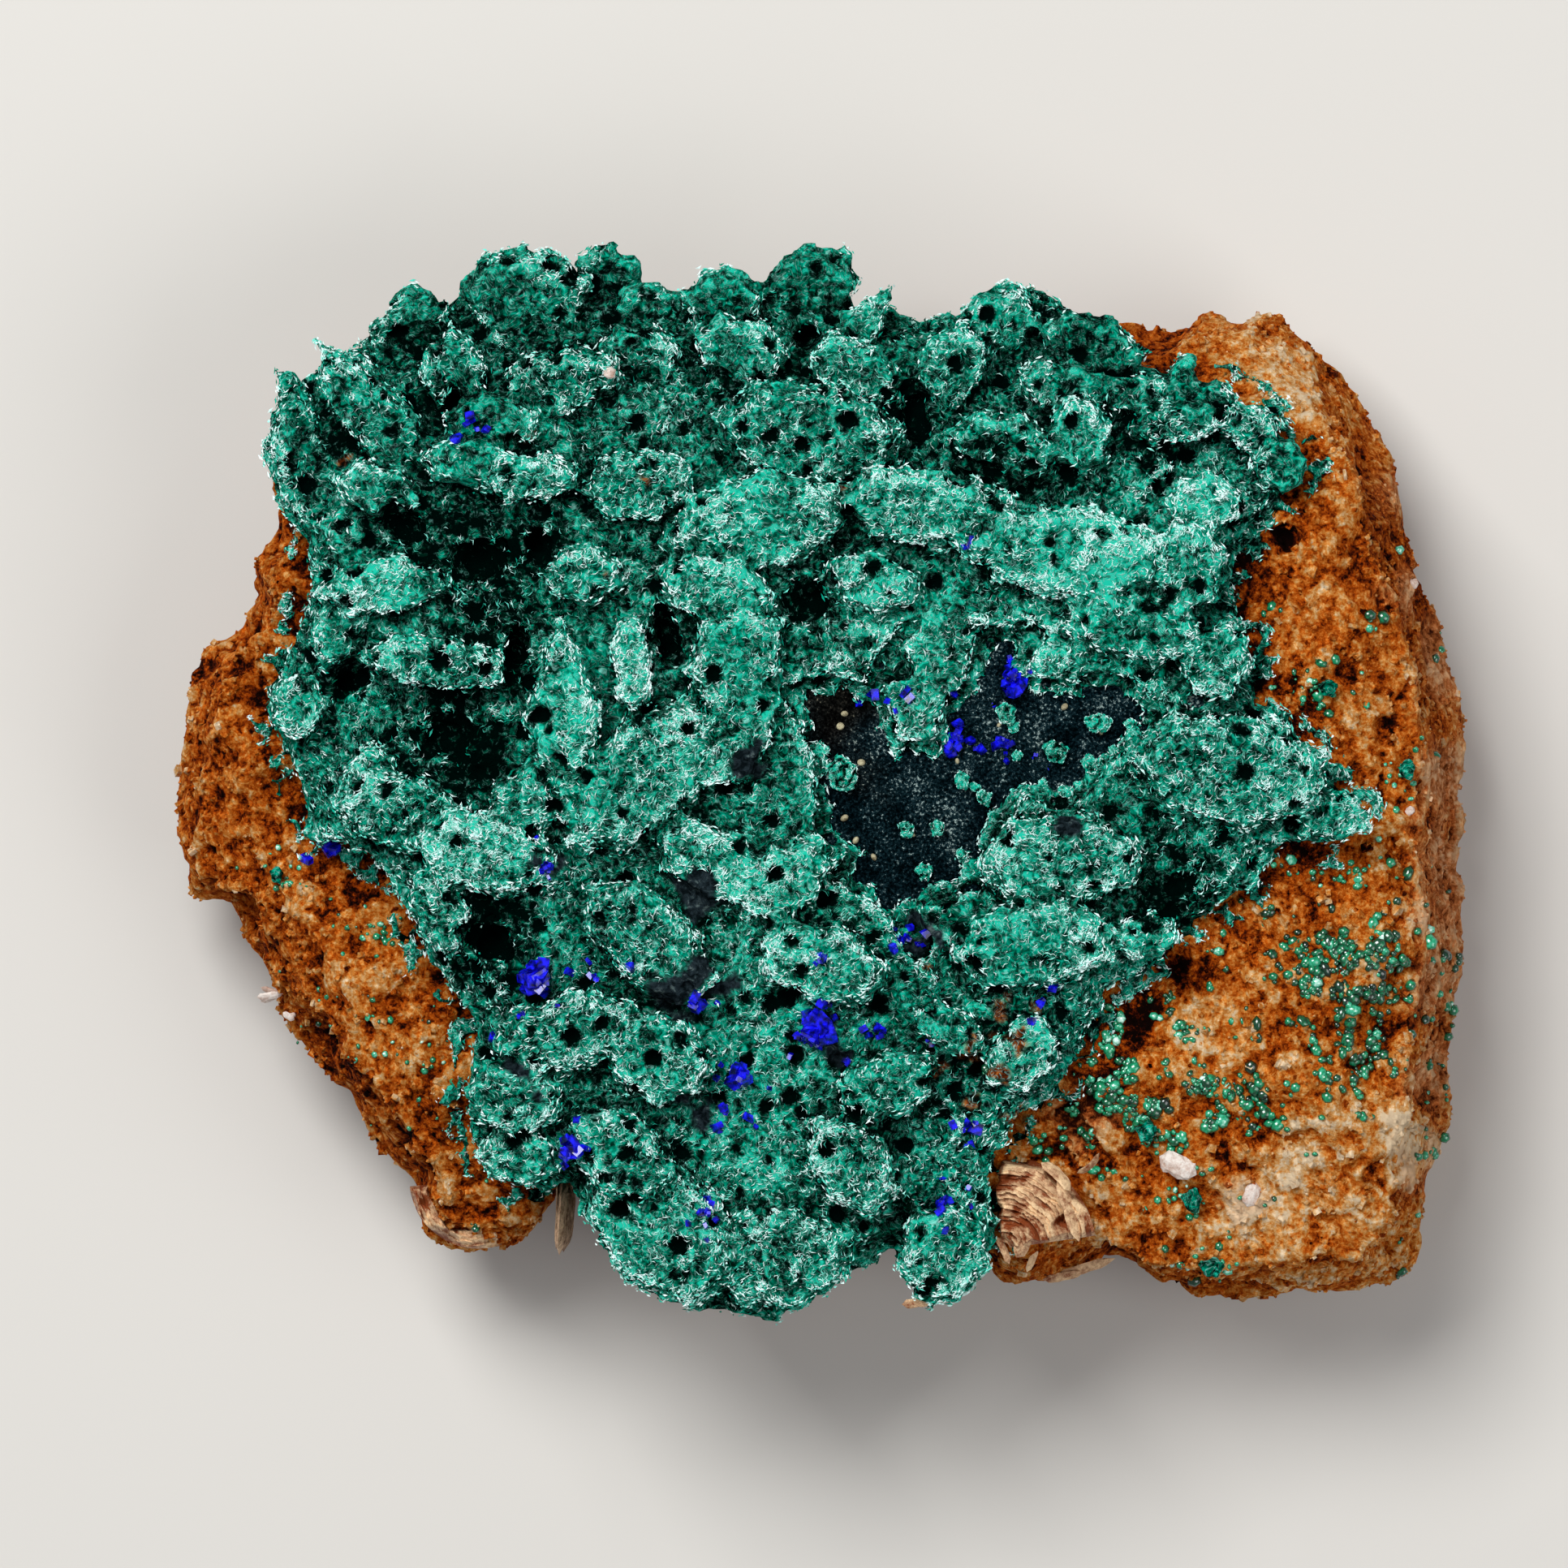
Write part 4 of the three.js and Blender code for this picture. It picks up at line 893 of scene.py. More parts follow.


# %% [markdown]
# ## Velvet malachite
#
# Malachite is a hydrated copper carbonate. As velvet it is a mat of fibres that scatter light, so it
# has no gloss. Its green carries painted light and shade: bright with pale mint in the open and on
# ridges, and so deep in the gaps and pits that it looks black. The pale strokes on the skin, partly the
# fibres' pale tips and partly painted sheen, are 0.2 to 0.5 mm apart. They are drawn where a noise
# passes through evenly spaced values, like the contour lines of a map. Where the crust is thin, the
# colour turns to black oxide or to two browns of rust.

# %% Malachite material


def malachite():
    """Deep to bright green by the sum of noises and painted numbers of light and shade, with pale contour
    lines.
    """
    layers = ("open", "pit", "shade", "ridge", "film", "rust")
    made = new_material("velvet_malachite", 0.9, 1.66, 0, *layers)
    material, shader, place, sky, pit, shade, ridge, film, rust = made
    broad = add(material, "TexNoise", {"Vector": place, "Scale": 1 / (7 * MM), "Detail": 3})
    fibre = {"Vector": place, "Scale": 1 / (0.55 * MM), "Detail": 4, "Distortion": 0.8}
    fine = add(material, "TexNoise", fibre)
    contour = add(material, "TexNoise", {"Vector": place, "Scale": 1 / MM, "Detail": 2, "Distortion": 0.9})
    repeated = add(material, "Math", {0: contour, 1: 8}, operation="MULTIPLY")
    folded = add(material, "Math", {0: repeated, 1: 0.5}, operation="PINGPONG")
    line = add(material, "MapRange", {"Value": folded, "From Min": 0.16, "From Max": 0.02})
    tone = 0.35
    # sky, pit, shade and ridge are painted light and shade: paler in the open and on ridges, darker in gaps,
    # hollows and pits.
    for part, weight in ((sky, 0.4), (broad, 0.6), (fine, 3), (pit, -1.15), (shade, 0.4), (ridge, 0.3)):
        tone = add(material, "Math", {0: part, 1: weight, 2: tone}, operation="MULTIPLY_ADD")
    value = add(material, "MapRange", {"Value": tone, "From Min": 1.85, "From Max": 3.05})
    greens = ((0, "#000806"), (0.25, "#001f15"), (0.5, "#00523e"), (0.75, "#00846a"), (1, "#1cb69a"))
    green = stops(add(material, "ValToRGB", {"Fac": value}), *greens)
    browns = ((0.38, "#140803"), (0.52, "#5c280e"), (0.7, "#b4682c"))
    brown = stops(add(material, "ValToRGB", {"Fac": fine}), *browns)
    blacks = ((0.4, "#0a1114"), (0.6, "#232e33"), (0.75, "#5a6a68"))
    black = stops(add(material, "ValToRGB", {"Fac": fine}), *blacks)
    rusty_green = add(material, "Mix", {0: rust, 6: green, 7: brown}, data_type="RGBA").outputs[2]
    ground = add(material, "Mix", {0: film, 6: rusty_green, 7: black}, data_type="RGBA").outputs[2]
    # The pale lines are partly the fibres' pale tips and partly painted sheen, and they show more where the
    # painted light is strong.
    shown = add(material, "Math", {0: line, 1: value}, operation="MULTIPLY")
    faded = add(material, "MapRange", {"Value": film, "To Min": 0.5, "To Max": 0})
    shown = add(material, "Math", {0: shown, 1: faded}, operation="MULTIPLY")
    lined = add(material, "Mix", {0: shown, 6: ground, 7: linear("#a4f0e4")}, data_type="RGBA").outputs[2]
    relief = add(material, "Math", {0: fine, 1: line}, operation="ADD")
    bump = add(material, "Bump", {"Height": relief, "Strength": 0.6, "Distance": 0.12 * MM})
    wire(shader, {"Base Color": lined, "Normal": bump})
    return material


def malachite_tips():
    """The strokes: each has a tint of its own, and painted light makes it paler where it sees more of the
    sky.
    """
    material, shader, _, sky, tint = new_material("malachite_tips", 0.8, 1.66, 0.02, "open", "tint")
    tone = add(material, "Math", {0: tint, 1: sky}, operation="ADD")
    value = add(material, "MapRange", {"Value": tone, "From Min": 0.4, "From Max": 1.5})
    mints = ((0, "#00281c"), (0.3, "#00664c"), (0.52, "#0aa48a"), (0.74, "#78e6d4"), (1, "#eafffc"))
    wire(shader, {"Base Color": stops(add(material, "ValToRGB", {"Fac": value}), *mints)})
    return material


velvet_malachite = malachite()
dress(velvet_malachite, crust, tufts)
dress(malachite_tips(), *velvets)

# %% [markdown]
# ## Iron-stained barite
#
# Barite is white to cream. Here it is soaked with goethite, the mineral of rust, so the broken faces
# are a grainy orange-brown, with cream patches where the barite shows and dark red-brown seams. Its
# grit is a noise of 1.1 mm with nine finer octaves, and its grains are cells of 0.6 mm.

# %% Rock material


def stained_barite():
    """Dark to cream by the sum of noises and painted numbers, some of them painted light and shade, paler and
    flesh-coloured on the wall.
    """
    layers = ("pale", "rust", "pink", "open", "tint", "ridge")
    made = new_material("iron_stained_barite", 0.92, 1.6, 0.03, *layers)
    material, shader, place, pale, rust, pink, sky, tint, ridge = made
    cloudy = {"Vector": place, "Scale": 1 / (6 * MM), "Detail": 5, "Distortion": 0.8}
    broad = add(material, "TexNoise", cloudy)
    gritty = {"Vector": place, "Scale": 1 / (1.1 * MM), "Detail": 9, "Roughness": 0.78, "Distortion": 0.6}
    grit = add(material, "TexNoise", gritty)
    bend = add(material, "VectorMath", {0: grit.outputs["Color"], "Scale": 0.9 * MM}, operation="SCALE")
    bent_place = add(material, "VectorMath", {0: place, 1: bend})
    cell = add(material, "TexVoronoi", {"Vector": bent_place, "Scale": 1 / (0.6 * MM)})
    dusty = {"Vector": place, "Scale": 1 / (0.4 * MM), "Detail": 4, "Roughness": 0.7}
    dust = add(material, "TexNoise", dusty)
    tone = pale
    # sky and ridge are painted light and shade: paler on open faces and crests, darker in cracks and hollows.
    for part, weight in (
        (broad, 1.1), (grit, 3.4), (sky, 0.5), (rust, -0.8), (pink, 0.3), (tint, 0.6),
        (cell.outputs["Color"], 0.3), (dust, 2.8), (ridge, 0.3),
    ):
        tone = add(material, "Math", {0: part, 1: weight, 2: tone}, operation="MULTIPLY_ADD")
    value = add(material, "MapRange", {"Value": tone, "From Min": 3.25, "From Max": 5.3})
    oranges = ((0, "#100301"), (0.14, "#541802"), (0.28, "#9c3c04"), (0.44, "#ca5e10"))
    creams = ((0.62, "#e28e3a"), (0.8, "#f2ba76"), (1, "#ffe2ba"))
    stained = stops(add(material, "ValToRGB", {"Fac": value}), *oranges, *creams)
    fleshes = ((0, "#4a1a08"), (0.2, "#a65828"), (0.45, "#d88850"), (0.75, "#f2be90"))
    flesh = stops(add(material, "ValToRGB", {"Fac": value}), *fleshes)
    colour = add(material, "Mix", {0: pink, 6: stained, 7: flesh}, data_type="RGBA").outputs[2]
    rough = add(material, "Math", {0: cell, 1: -0.35, 2: grit}, operation="MULTIPLY_ADD")
    bump = add(material, "Bump", {"Height": rough, "Strength": 1, "Distance": 0.6 * MM})
    wire(shader, {"Base Color": colour, "Normal": bump})
    return material


# %% [markdown]
# The rock's colour follows patches as well: cream where the barite shows, and red-brown where rust has
# gathered, beside the crust and in the cracks. Under the crust and on the base the net is thinned.

# %% The rock as a piece
ROCK_GOAL = 180000
PALE_PATCHES = [
    (32, 30.5, 4, 0.6), (28.5, -18.5, 3.4, 0.5), (42, -26, 2.4, 1.2), (34.5, -30.5, 4.5, 0.8),
    (38.5, -24, 2.5, 0.4), (36.5, 27.5, 3, 0.3), (29, -33, 3.5, 0.3), (-45.6, 6, 1.2, 0.5),
    (-28.5, -19.5, 3, 0.2), (41, -33.5, 3, 0.3), (-33, -14, 2.5, 0.25), (20, -33, 2.5, 0.3),
]
RUST_PATCHES = [
    (30.3, 15.5, 2.2, 1.2), (30.3, 8, 2.2, 1.2), (34.5, -5, 2.2, 0.9), (33.5, 17.3, 0.9, 1),
    (40.8, 4.1, 0.8, 1), (29.4, 11.8, 1.6, 1.1), (32, 3, 1.6, 0.9), (20, -21, 3.6, 1.1),
    (26.5, -13.2, 1.8, 0.7), (23, -17.6, 1.8, 0.8), (31, -3, 2, 0.5), (24, -16, 2, 0.4),
    (-38, 15, 2.5, 0.4), (-45, 8, 1.4, 0.8), (-34.5, -20.5, 1.5, 0.6), (-28.5, -26.5, 1.8, 0.4),
    (-43.5, -2, 1.6, 0.4),
]
rock_values = {
    "pale": patches(rock_points, PALE_PATCHES, 21),
    "rust": patches(rock_points, RUST_PATCHES, 31),
    "pink": np.clip(patches(rock_points, PINK_PATCHES, 41), 0, 1),
    # open and ridge are painted light and shade for the rock and its grains.
    "open": open_share(rock_points),
    "ridge": ridges(rock_mesh, rock_points, rock_normals, 6, 0.2 * MM),
}
paint(rock_mesh, tint=rock_tint, **rock_values)
crust_above = sampled(height_field(crust_points), rock_points) - rock_points[:, 2]
rock_hidden = (crust_above > 0.8 * MM) & (rock_normals[:, 2] > 0.3) | (rock_points[:, 2] < 0.05 * MM)
rock_mesh = thinned(rock_mesh, rock_hidden, ROCK_GOAL)
rock = piece("barite_rock", rock_mesh, ["matrix"])

# %% [markdown]
# ## Grains on the rock
#
# A broken face of this rock is a mass of grains a third of a millimetre to a millimetre across, some
# darker and some lighter than the rest. Each is a small slanted block, half sunk.

# %% Grains
GRAINS = 5000
bare_rock = np.flatnonzero((rock_values["open"] > 0.35) & (rock_points[:, 2] > 6 * MM))
grain_at = rng.choice(bare_rock, GRAINS)
grain_sizes = rng.gamma(4, 0.035, (GRAINS, 1)).clip(0.08, 0.32) * rng.uniform(0.5, 1.2, (GRAINS, 3)) * MM
grain_mesh = mesh_from("rock_grains", *copies(block(), rock_points[grain_at], grain_sizes))
# The grains carry the rock's painted light and shade along with its stains.
grain_values = {name: numbers[grain_at] for name, numbers in rock_values.items()}
grain_values["tint"] = rock_tint[grain_at] + rng.normal(0, 0.4, GRAINS)
paint(grain_mesh, **{name: np.repeat(numbers, 8) for name, numbers in grain_values.items()})
grains = piece("rock_grains", grain_mesh, smooth=False)
dress(stained_barite(), rock, grains)

# %% [markdown]
# ## Malachite balls on the rock
#
# Where the crust thins out, the malachite grows as single flat balls of 0.4 to 0.9 mm, scattered over
# the bare rock in drifts and chains. Each row is the middle of a drift, its spread in x and y in mm, how
# many balls are tried, and how pale they are.

# %% The balls
DRIFTS = [
    (37.6, -14.5, 3, 2.8, 420, 0.35), (37, -13, 4.2, 0.8, 120, 0.35), (39.3, -20.3, 2, 1.8, 130, 0.4),
    (37.6, -6.8, 2.2, 0.5, 36, 0.6), (27.4, -23.4, 3, 1.3, 300, 0.45), (21, -20.4, 3.6, 3.4, 1100, 0.55),
    (23.5, -25.6, 1.6, 1, 60, 0.6), (18.5, -16, 3, 2.6, 260, 0.45), (26.8, -30.4, 1.2, 1.6, 30, 0.7),
    (28, -35.2, 1.6, 1.2, 40, 0.6), (24.5, -36.3, 1, 0.8, 14, 0.7), (35.5, 6.5, 1.6, 0.9, 24, 0.6),
    (32.3, 5.9, 1.2, 0.8, 10, 0.6), (36.3, 6.5, 1.2, 1, 16, 0.4), (37.3, 4.4, 1.2, 1, 20, 0.5),
    (39.7, 11.4, 0.5, 0.5, 5, 0.5), (32, 11.8, 1.6, 0.5, 10, 0.6), (42.3, 0.6, 0.9, 1.4, 24, 0.7),
    (45.9, -14.5, 0.6, 2.6, 40, 0.5), (45.3, -20.8, 0.7, 2.2, 36, 0.5), (44.6, -26, 0.7, 2.4, 40, 0.5),
    (42.7, -34.4, 0.7, 1.8, 30, 0.5), (44, 8, 0.8, 5, 16, 0.6), (35.5, -27, 4, 4, 26, 0.6),
    (-39.2, -7.2, 0.8, 1.2, 26, 0.7), (-31.8, -11, 1.8, 0.7, 44, 0.55), (-31.6, -17, 4.6, 3, 80, 0.6),
    (-31, -26.4, 0.8, 1.4, 16, 0.6), (-23.6, -32.2, 3, 1.6, 50, 0.6), (-36.5, -11, 3, 3, 20, 0.6),
    (-27, -23, 2, 3, 20, 0.6), (14, -24, 1.6, 3, 40, 0.6), (30.5, 13, 1, 4, 16, 0.5),
    (27.5, -8, 3, 1.6, 70, 0.4), (31.5, -5, 1.5, 1.5, 16, 0.5), (41, -9, 2.5, 3, 14, 0.7),
]
CLUMP = 1.3 * MM


def drifted(rows):
    """Places scattered about each middle by the normal distribution and set down on the height field.
    Noise thins them to clumps, and those beside the rock, in its cracks or on the crust are left out."""
    parts = [rng.normal((x, y), (dx, dy), (count, 2)) for x, y, dx, dy, count, _ in rows]
    flat = np.concatenate(parts) * MM
    places = np.column_stack([flat, sampled(face_field, flat)])
    paleness = np.repeat([row[5] for row in rows], [row[4] for row in rows])
    over_crust = places[:, 2] - sampled(height_field(crust_points[crust_normals[:, 2] > 0]), places)
    step = sampled(highest_beside(face_field), places) - places[:, 2]
    kept = (places[:, 2] > 9 * MM) & (sampled(sky_field, places) > 0.35) & (waves(places, CLUMP, 60) > -0.02)
    kept &= (over_crust > 0.5 * MM) & (step < 1.8 * MM)
    return places[kept], paleness[kept]


ball_places, ball_pale = drifted(DRIFTS)
ball_count = len(ball_places)
ball_sizes = rng.gamma(7, 0.045, (ball_count, 1)).clip(0.16, 0.55)
paler_smaller = (1.25 - 0.65 * ball_pale)[:, None]
ball_sizes = ball_sizes * rng.uniform(0.75, 1.25, (ball_count, 3)) * [1, 1, 0.6] * paler_smaller
ball_sizes[ball_places[:, 0] < 0] *= 0.72
small_turns, _ = np.linalg.qr(np.eye(3) + 0.35 * rng.normal(size=(ball_count, 3, 3)))
small_turns *= np.sign(np.linalg.det(small_turns))[:, None, None]
ball_points, ball_faces = copies(pebble(), ball_places, ball_sizes * MM, small_turns)
ball_mesh = mesh_from("malachite_balls", ball_points, ball_faces)
paint(ball_mesh, tint=np.repeat(ball_pale + rng.normal(0, 0.22, ball_count), len(ball_points) // ball_count))
balls = piece("malachite_balls", ball_mesh)
print("balls:", ball_count)

# %% [markdown]
# The balls are malachite without the velvet, so they are a clear emerald green with a silky gloss. Each
# has painted shade at its foot and painted light on top.

# %% Ball material


def silky_malachite():
    """Emerald by the point's tint, painted light by how far its face looks up, and a noise of 0.25 mm."""
    material, shader, place, tint = new_material("silky_malachite", 0.2, 1.66, 0.7, "tint")
    up = add(material, "SeparateXYZ", {0: add(material, "NewGeometry").outputs["Normal"]}).outputs[2]
    cloud = add(material, "TexNoise", {"Vector": place, "Scale": 1 / (0.25 * MM), "Detail": 2})
    tone = tint
    # up is painted light and shade: paler on top, darker at the foot.
    for part, weight in ((up, 0.35), (cloud, 1.1)):
        tone = add(material, "Math", {0: part, 1: weight, 2: tone}, operation="MULTIPLY_ADD")
    value = add(material, "MapRange", {"Value": tone, "From Min": 0.75, "From Max": 2})
    emeralds = ((0, "#01160c"), (0.3, "#014a2c"), (0.58, "#018a5a"), (0.8, "#3cb48e"), (1, "#d0f6e6"))
    wire(shader, {"Base Color": stops(add(material, "ValToRGB", {"Fac": value}), *emeralds)})
    return material


dress(silky_malachite(), balls)

# %% [markdown]
# The six largest balls have solids of their own. They are open like the tufts, so the same rosette of
# leaves makes them, in the velvet's own green.

# %% The largest balls
LARGE_BALLS = names_of("malachite_ball")
large_shells = [rosette(*box_of(name), 12) for name in LARGE_BALLS]
large_mesh, _, large_normals = even_net("malachite_rosettes", large_shells, TUFT_CELL)
# open is painted light here: paler where the face looks up.
paint(large_mesh, open=0.5 + 0.35 * large_normals[:, 2])
dress(velvet_malachite, piece("malachite_rosettes", large_mesh, LARGE_BALLS))

# %% [markdown]
# Tan barite also grows on the oxide as beads half a millimetre across: balls a little flattened.

# %% Tan beads on the oxide
bead_at = np.array(TAN_BEADS) * MM
bead_middles = np.column_stack([bead_at[:, :2], sampled(film_field, bead_at)])
bead_mesh = mesh_from("tan_beads", *copies(ball(), bead_middles, bead_at[:, 2:] * [[1, 1, 0.7]]))
tan_beads = piece("tan_beads", bead_mesh)

# %% [markdown]
# The oxide is tenorite, a sooty black copper oxide. Its fine grains of 0.2 mm are painted as pale
# specks of glint, and a browner ramp takes over where the film is thin.

# %% Oxide material


def copper_oxide():
    """Black to grey by two noises, with the palest specks painted glints, browner where the film is thin."""
    material, shader, place, thin = new_material("copper_oxide_film", 0.7, 1.7, 0, "thin")
    broad = add(material, "TexNoise", {"Vector": place, "Scale": 1 / (2.5 * MM), "Detail": 5})
    grainy = {"Vector": place, "Scale": 1 / (0.22 * MM), "Detail": 3, "Roughness": 0.7}
    grain = add(material, "TexNoise", grainy)
    tone = add(material, "Math", {0: broad, 1: 0.5, 2: grain}, operation="MULTIPLY_ADD")
    # The palest stops are painted glints on the fine grains.
    greys = ((0.58, "#000203"), (0.73, "#030d11"), (0.87, "#152a30"), (0.98, "#8fa19c"))
    browns = ((0.58, "#020101"), (0.76, "#0c0804"), (0.88, "#261b0f"), (0.98, "#8c7a56"))
    grey, brown = (stops(add(material, "ValToRGB", {"Fac": tone}), *ramp) for ramp in (greys, browns))
    colour = add(material, "Mix", {0: thin, 6: grey, 7: brown}, data_type="RGBA").outputs[2]
    bump = add(material, "Bump", {"Height": grain, "Strength": 0.5, "Distance": 0.1 * MM})
    wire(shader, {"Base Color": colour, "Normal": bump})
    return material


dress(copper_oxide(), oxide)

# %% [markdown]
# ## Azurite
#
# Azurite is a glassy, deep blue copper carbonate. Its small blocky crystals are so dark that only
# their faces' glints and thin rims show blue.

# %% Azurite material


def azurite_glass():
    """Near black to full blue by a noise of half a millimetre."""
    material, shader, place = new_material("azurite_crystal", 0.22, 1.73, 0.3)
    cloud = add(material, "TexNoise", {"Vector": place, "Scale": 1 / (0.5 * MM), "Detail": 2})
    blues = ((0.35, "#02023c"), (0.5, "#0808a6"), (0.65, "#1c1cff"))
    wire(shader, {"Base Color": stops(add(material, "ValToRGB", {"Fac": cloud}), *blues)})
    return material


# %% [markdown]
# Each solid becomes a heap of blocks as large as its box, with a few single blocks scattered round it.
# A crystal group too small for a solid is a row of its x, y and size in mm.

# %% The azurite crystals
LOOSE_CRYSTALS = 7
LOOSE_SPREAD = 0.95 * MM
TINY_AZURITE = [
    (-23.4, -18.4, 0.7), (-17.4, -24.5, 0.8), (-1.4, -18.9, 0.9), (0, -12.9, 1), (7.2, -11.9, 0.8),
    (9.5, 3, 0.8), (13.7, 8.7, 0.7), (12.5, 5.1, 0.7), (9.6, 6.1, 0.6), (8.7, 2.4, 0.5), (13.5, 2.6, 0.8),
    (15.4, 1.6, 0.5), (16.5, 0.9, 0.5), (7.9, -18.9, 0.5), (8.7, -28.6, 0.8), (-1.6, -31.4, 0.8),
    (10.7, 17, 0.8), (2, -20.4, 0.6), (-6.2, -16.8, 0.5), (-21.4, -17, 0.6),
]


def crystals_in(low, high):
    """Blocks scattered inside a box, more of them in a larger box, each a third of its width."""
    size = high - low
    count = int(np.clip(size[0] * size[1] / MM**2 * 5, 5, 22))
    spread = rng.uniform(-0.36, 0.36, (count, 3)) * [1, 1, 0.4] - [0, 0, 0.25]
    sizes = size[:2].min() * rng.uniform(0.16, 0.34, (count, 1)) * np.ones(3)
    return copies(block(), (low + high) / 2 + size * spread, sizes)


def lifted(low, high):
    """The box, raised so that its middle is no lower than the face there."""
    middle = (low + high) / 2
    rise = [0, 0, max(0, sampled(face_field, middle[None])[0] - middle[2])]
    return low + rise, high + rise


def loose_crystals(boxes):
    """Single blocks scattered round each box by the normal distribution, where the face is open."""
    middles = np.repeat([(low + high)[:2] / 2 for low, high in boxes], LOOSE_CRYSTALS, axis=0)
    flat = middles + rng.normal(0, 1, middles.shape) * LOOSE_SPREAD
    flat = flat[sampled(sky_field, flat) > 0.5]
    places = np.column_stack([flat, sampled(face_field, flat) + 0.05 * MM])
    sizes = rng.uniform(0.14, 0.36, (len(places), 1)) * rng.uniform(0.7, 1.2, (len(places), 3)) * MM
    return copies(block(), places, sizes)


AZURITE = names_of("azurite")
azurite_boxes = [box_of(name) for name in AZURITE]
azurite_shells = [crystals_in(*lifted(*box)) for box in azurite_boxes]
azurite_shells.append(loose_crystals(azurite_boxes))
for x, y, size in TINY_AZURITE:
    middle = np.array([x * MM, y * MM, height_at(face_field, x, y)])
    azurite_shells.append(crystals_in(middle - 0.5 * size * MM, middle + 0.5 * size * MM))
azurite_mesh = mesh_from("azurite_crystals", *joined(azurite_shells))
dress(azurite_glass(), piece("azurite_crystals", azurite_mesh, AZURITE, smooth=False))

# %% [markdown]
# ## Clean barite
#
# Barite that the rust hasn't reached is tan, cream or white. It grows as thin plates, thickest in the
# middle and sharp at the rim. At the bottom edge a stack of them stands on edge and curves round like
# folded cloth: that is a fan of thin layers bent round a middle, each with a height of its own. Single
# plates lie on the rock or stick out of it. A plate is a tube of eight-sided rings, with the first and
# the last ring drawn together to a point.

# %% Barite shapes
FAN_STEP = 0.07
FAN_STATIONS = 56
FAN_DEPTH = 2.6
LAYER = 0.3
PLATE_STATIONS, PLATE_AROUND = 13, 8


def tube_faces(stations, around):
    """Two triangles between each pair of points on one ring and the same pair on the next."""
    ring, step = np.arange(stations - 1)[:, None] * around, np.arange(around)
    after = (step + 1) % around
    low = np.stack([ring + step, ring + around + after, ring + after], axis=-1)
    high = np.stack([ring + step, ring + around + step, ring + around + after], axis=-1)
    return np.concatenate([low.reshape(-1, 3), high.reshape(-1, 3)])


def turns_about(axis, degrees):
    """A rotation matrix for each angle, about the X axis, 0, or the Z axis, 2."""
    angles = np.radians(np.atleast_1d(degrees))
    i, j = (axis + 1) % 3, (axis + 2) % 3
    turns = np.tile(np.eye(3), (len(angles), 1, 1))
    turns[:, i, i] = turns[:, j, j] = np.cos(angles)
    turns[:, i, j], turns[:, j, i] = -np.sin(angles), np.sin(angles)
    return turns


def layered_fan(middle, near, far, start, end, top, fall):
    """Thin layers on edge, bent round a middle, in mm. With R the distance from it, a the angle and k
    and p the whole and broken parts of (R + noise) / LAYER, the top is top - fall * (R - near) + 0.35 *
    noise(k, a * R) - 0.25 * p, less a streaked noise and a fall at the ragged rim. Its rings run out
    along the top and back underneath, FAN_DEPTH lower."""
    out = np.linspace(near, far, int((far - near) / FAN_STEP))[None]
    angle = np.radians(np.linspace(start, end, FAN_STATIONS))[:, None]
    x, y = middle[0] + out * np.cos(angle), middle[1] + out * np.sin(angle)
    flat = np.stack([x, y, 0 * x], axis=-1)
    spots, shape = flat.reshape(-1, 3), flat.shape[:2]

    def noise(size, seed, points=spots):
        return waves(points, size, seed).reshape(shape)

    layer = (out + 0.2 * noise(1.4, 91) + 0.07 * noise(0.45, 92)) / LAYER
    number, part = np.floor(layer), layer % 1
    along = np.stack([3.7 * number + 0.5, angle * out / 1.2, 0 * layer], axis=-1).reshape(-1, 3)
    level = noise(1.0, 93, along)
    rim = np.minimum(out - near, far - out) / 0.5 + 1.6 * noise(1.1, 94)
    side = 6 * (1 - np.abs(np.linspace(-1, 1, FAN_STATIONS)))[:, None] + 1.2 * noise(0.8, 95)
    streak = np.maximum(0, noise(0.8, 96, spots @ turns_about(2, 35)[0] * [0.4, 1, 1]) - 0.15)
    base = top - fall * (out - near)
    sunk = 1.6 * np.clip(1 - np.minimum(rim, side), 0, 1) + 1.1 * streak
    under = flat.copy()
    flat[..., 2] = base + 0.35 * level - 0.25 * part - sunk
    under[..., 2] = base - FAN_DEPTH
    flat[[0, -1], :, 2] = under[[0, -1], :, 2]
    rings = np.concatenate([flat, under[:, ::-1]], axis=1)
    tints = 0.1 * level - 0.08 * part + 0.02 - 0.35 * streak - 0.1 * noise(1.7, 97) - 0.05 * (rim < 0.6)
    tints = np.concatenate([tints, tints[:, ::-1]], axis=1)
    return rings.reshape(-1, 3) * MM, tube_faces(FAN_STATIONS, rings.shape[1]), tints.ravel()


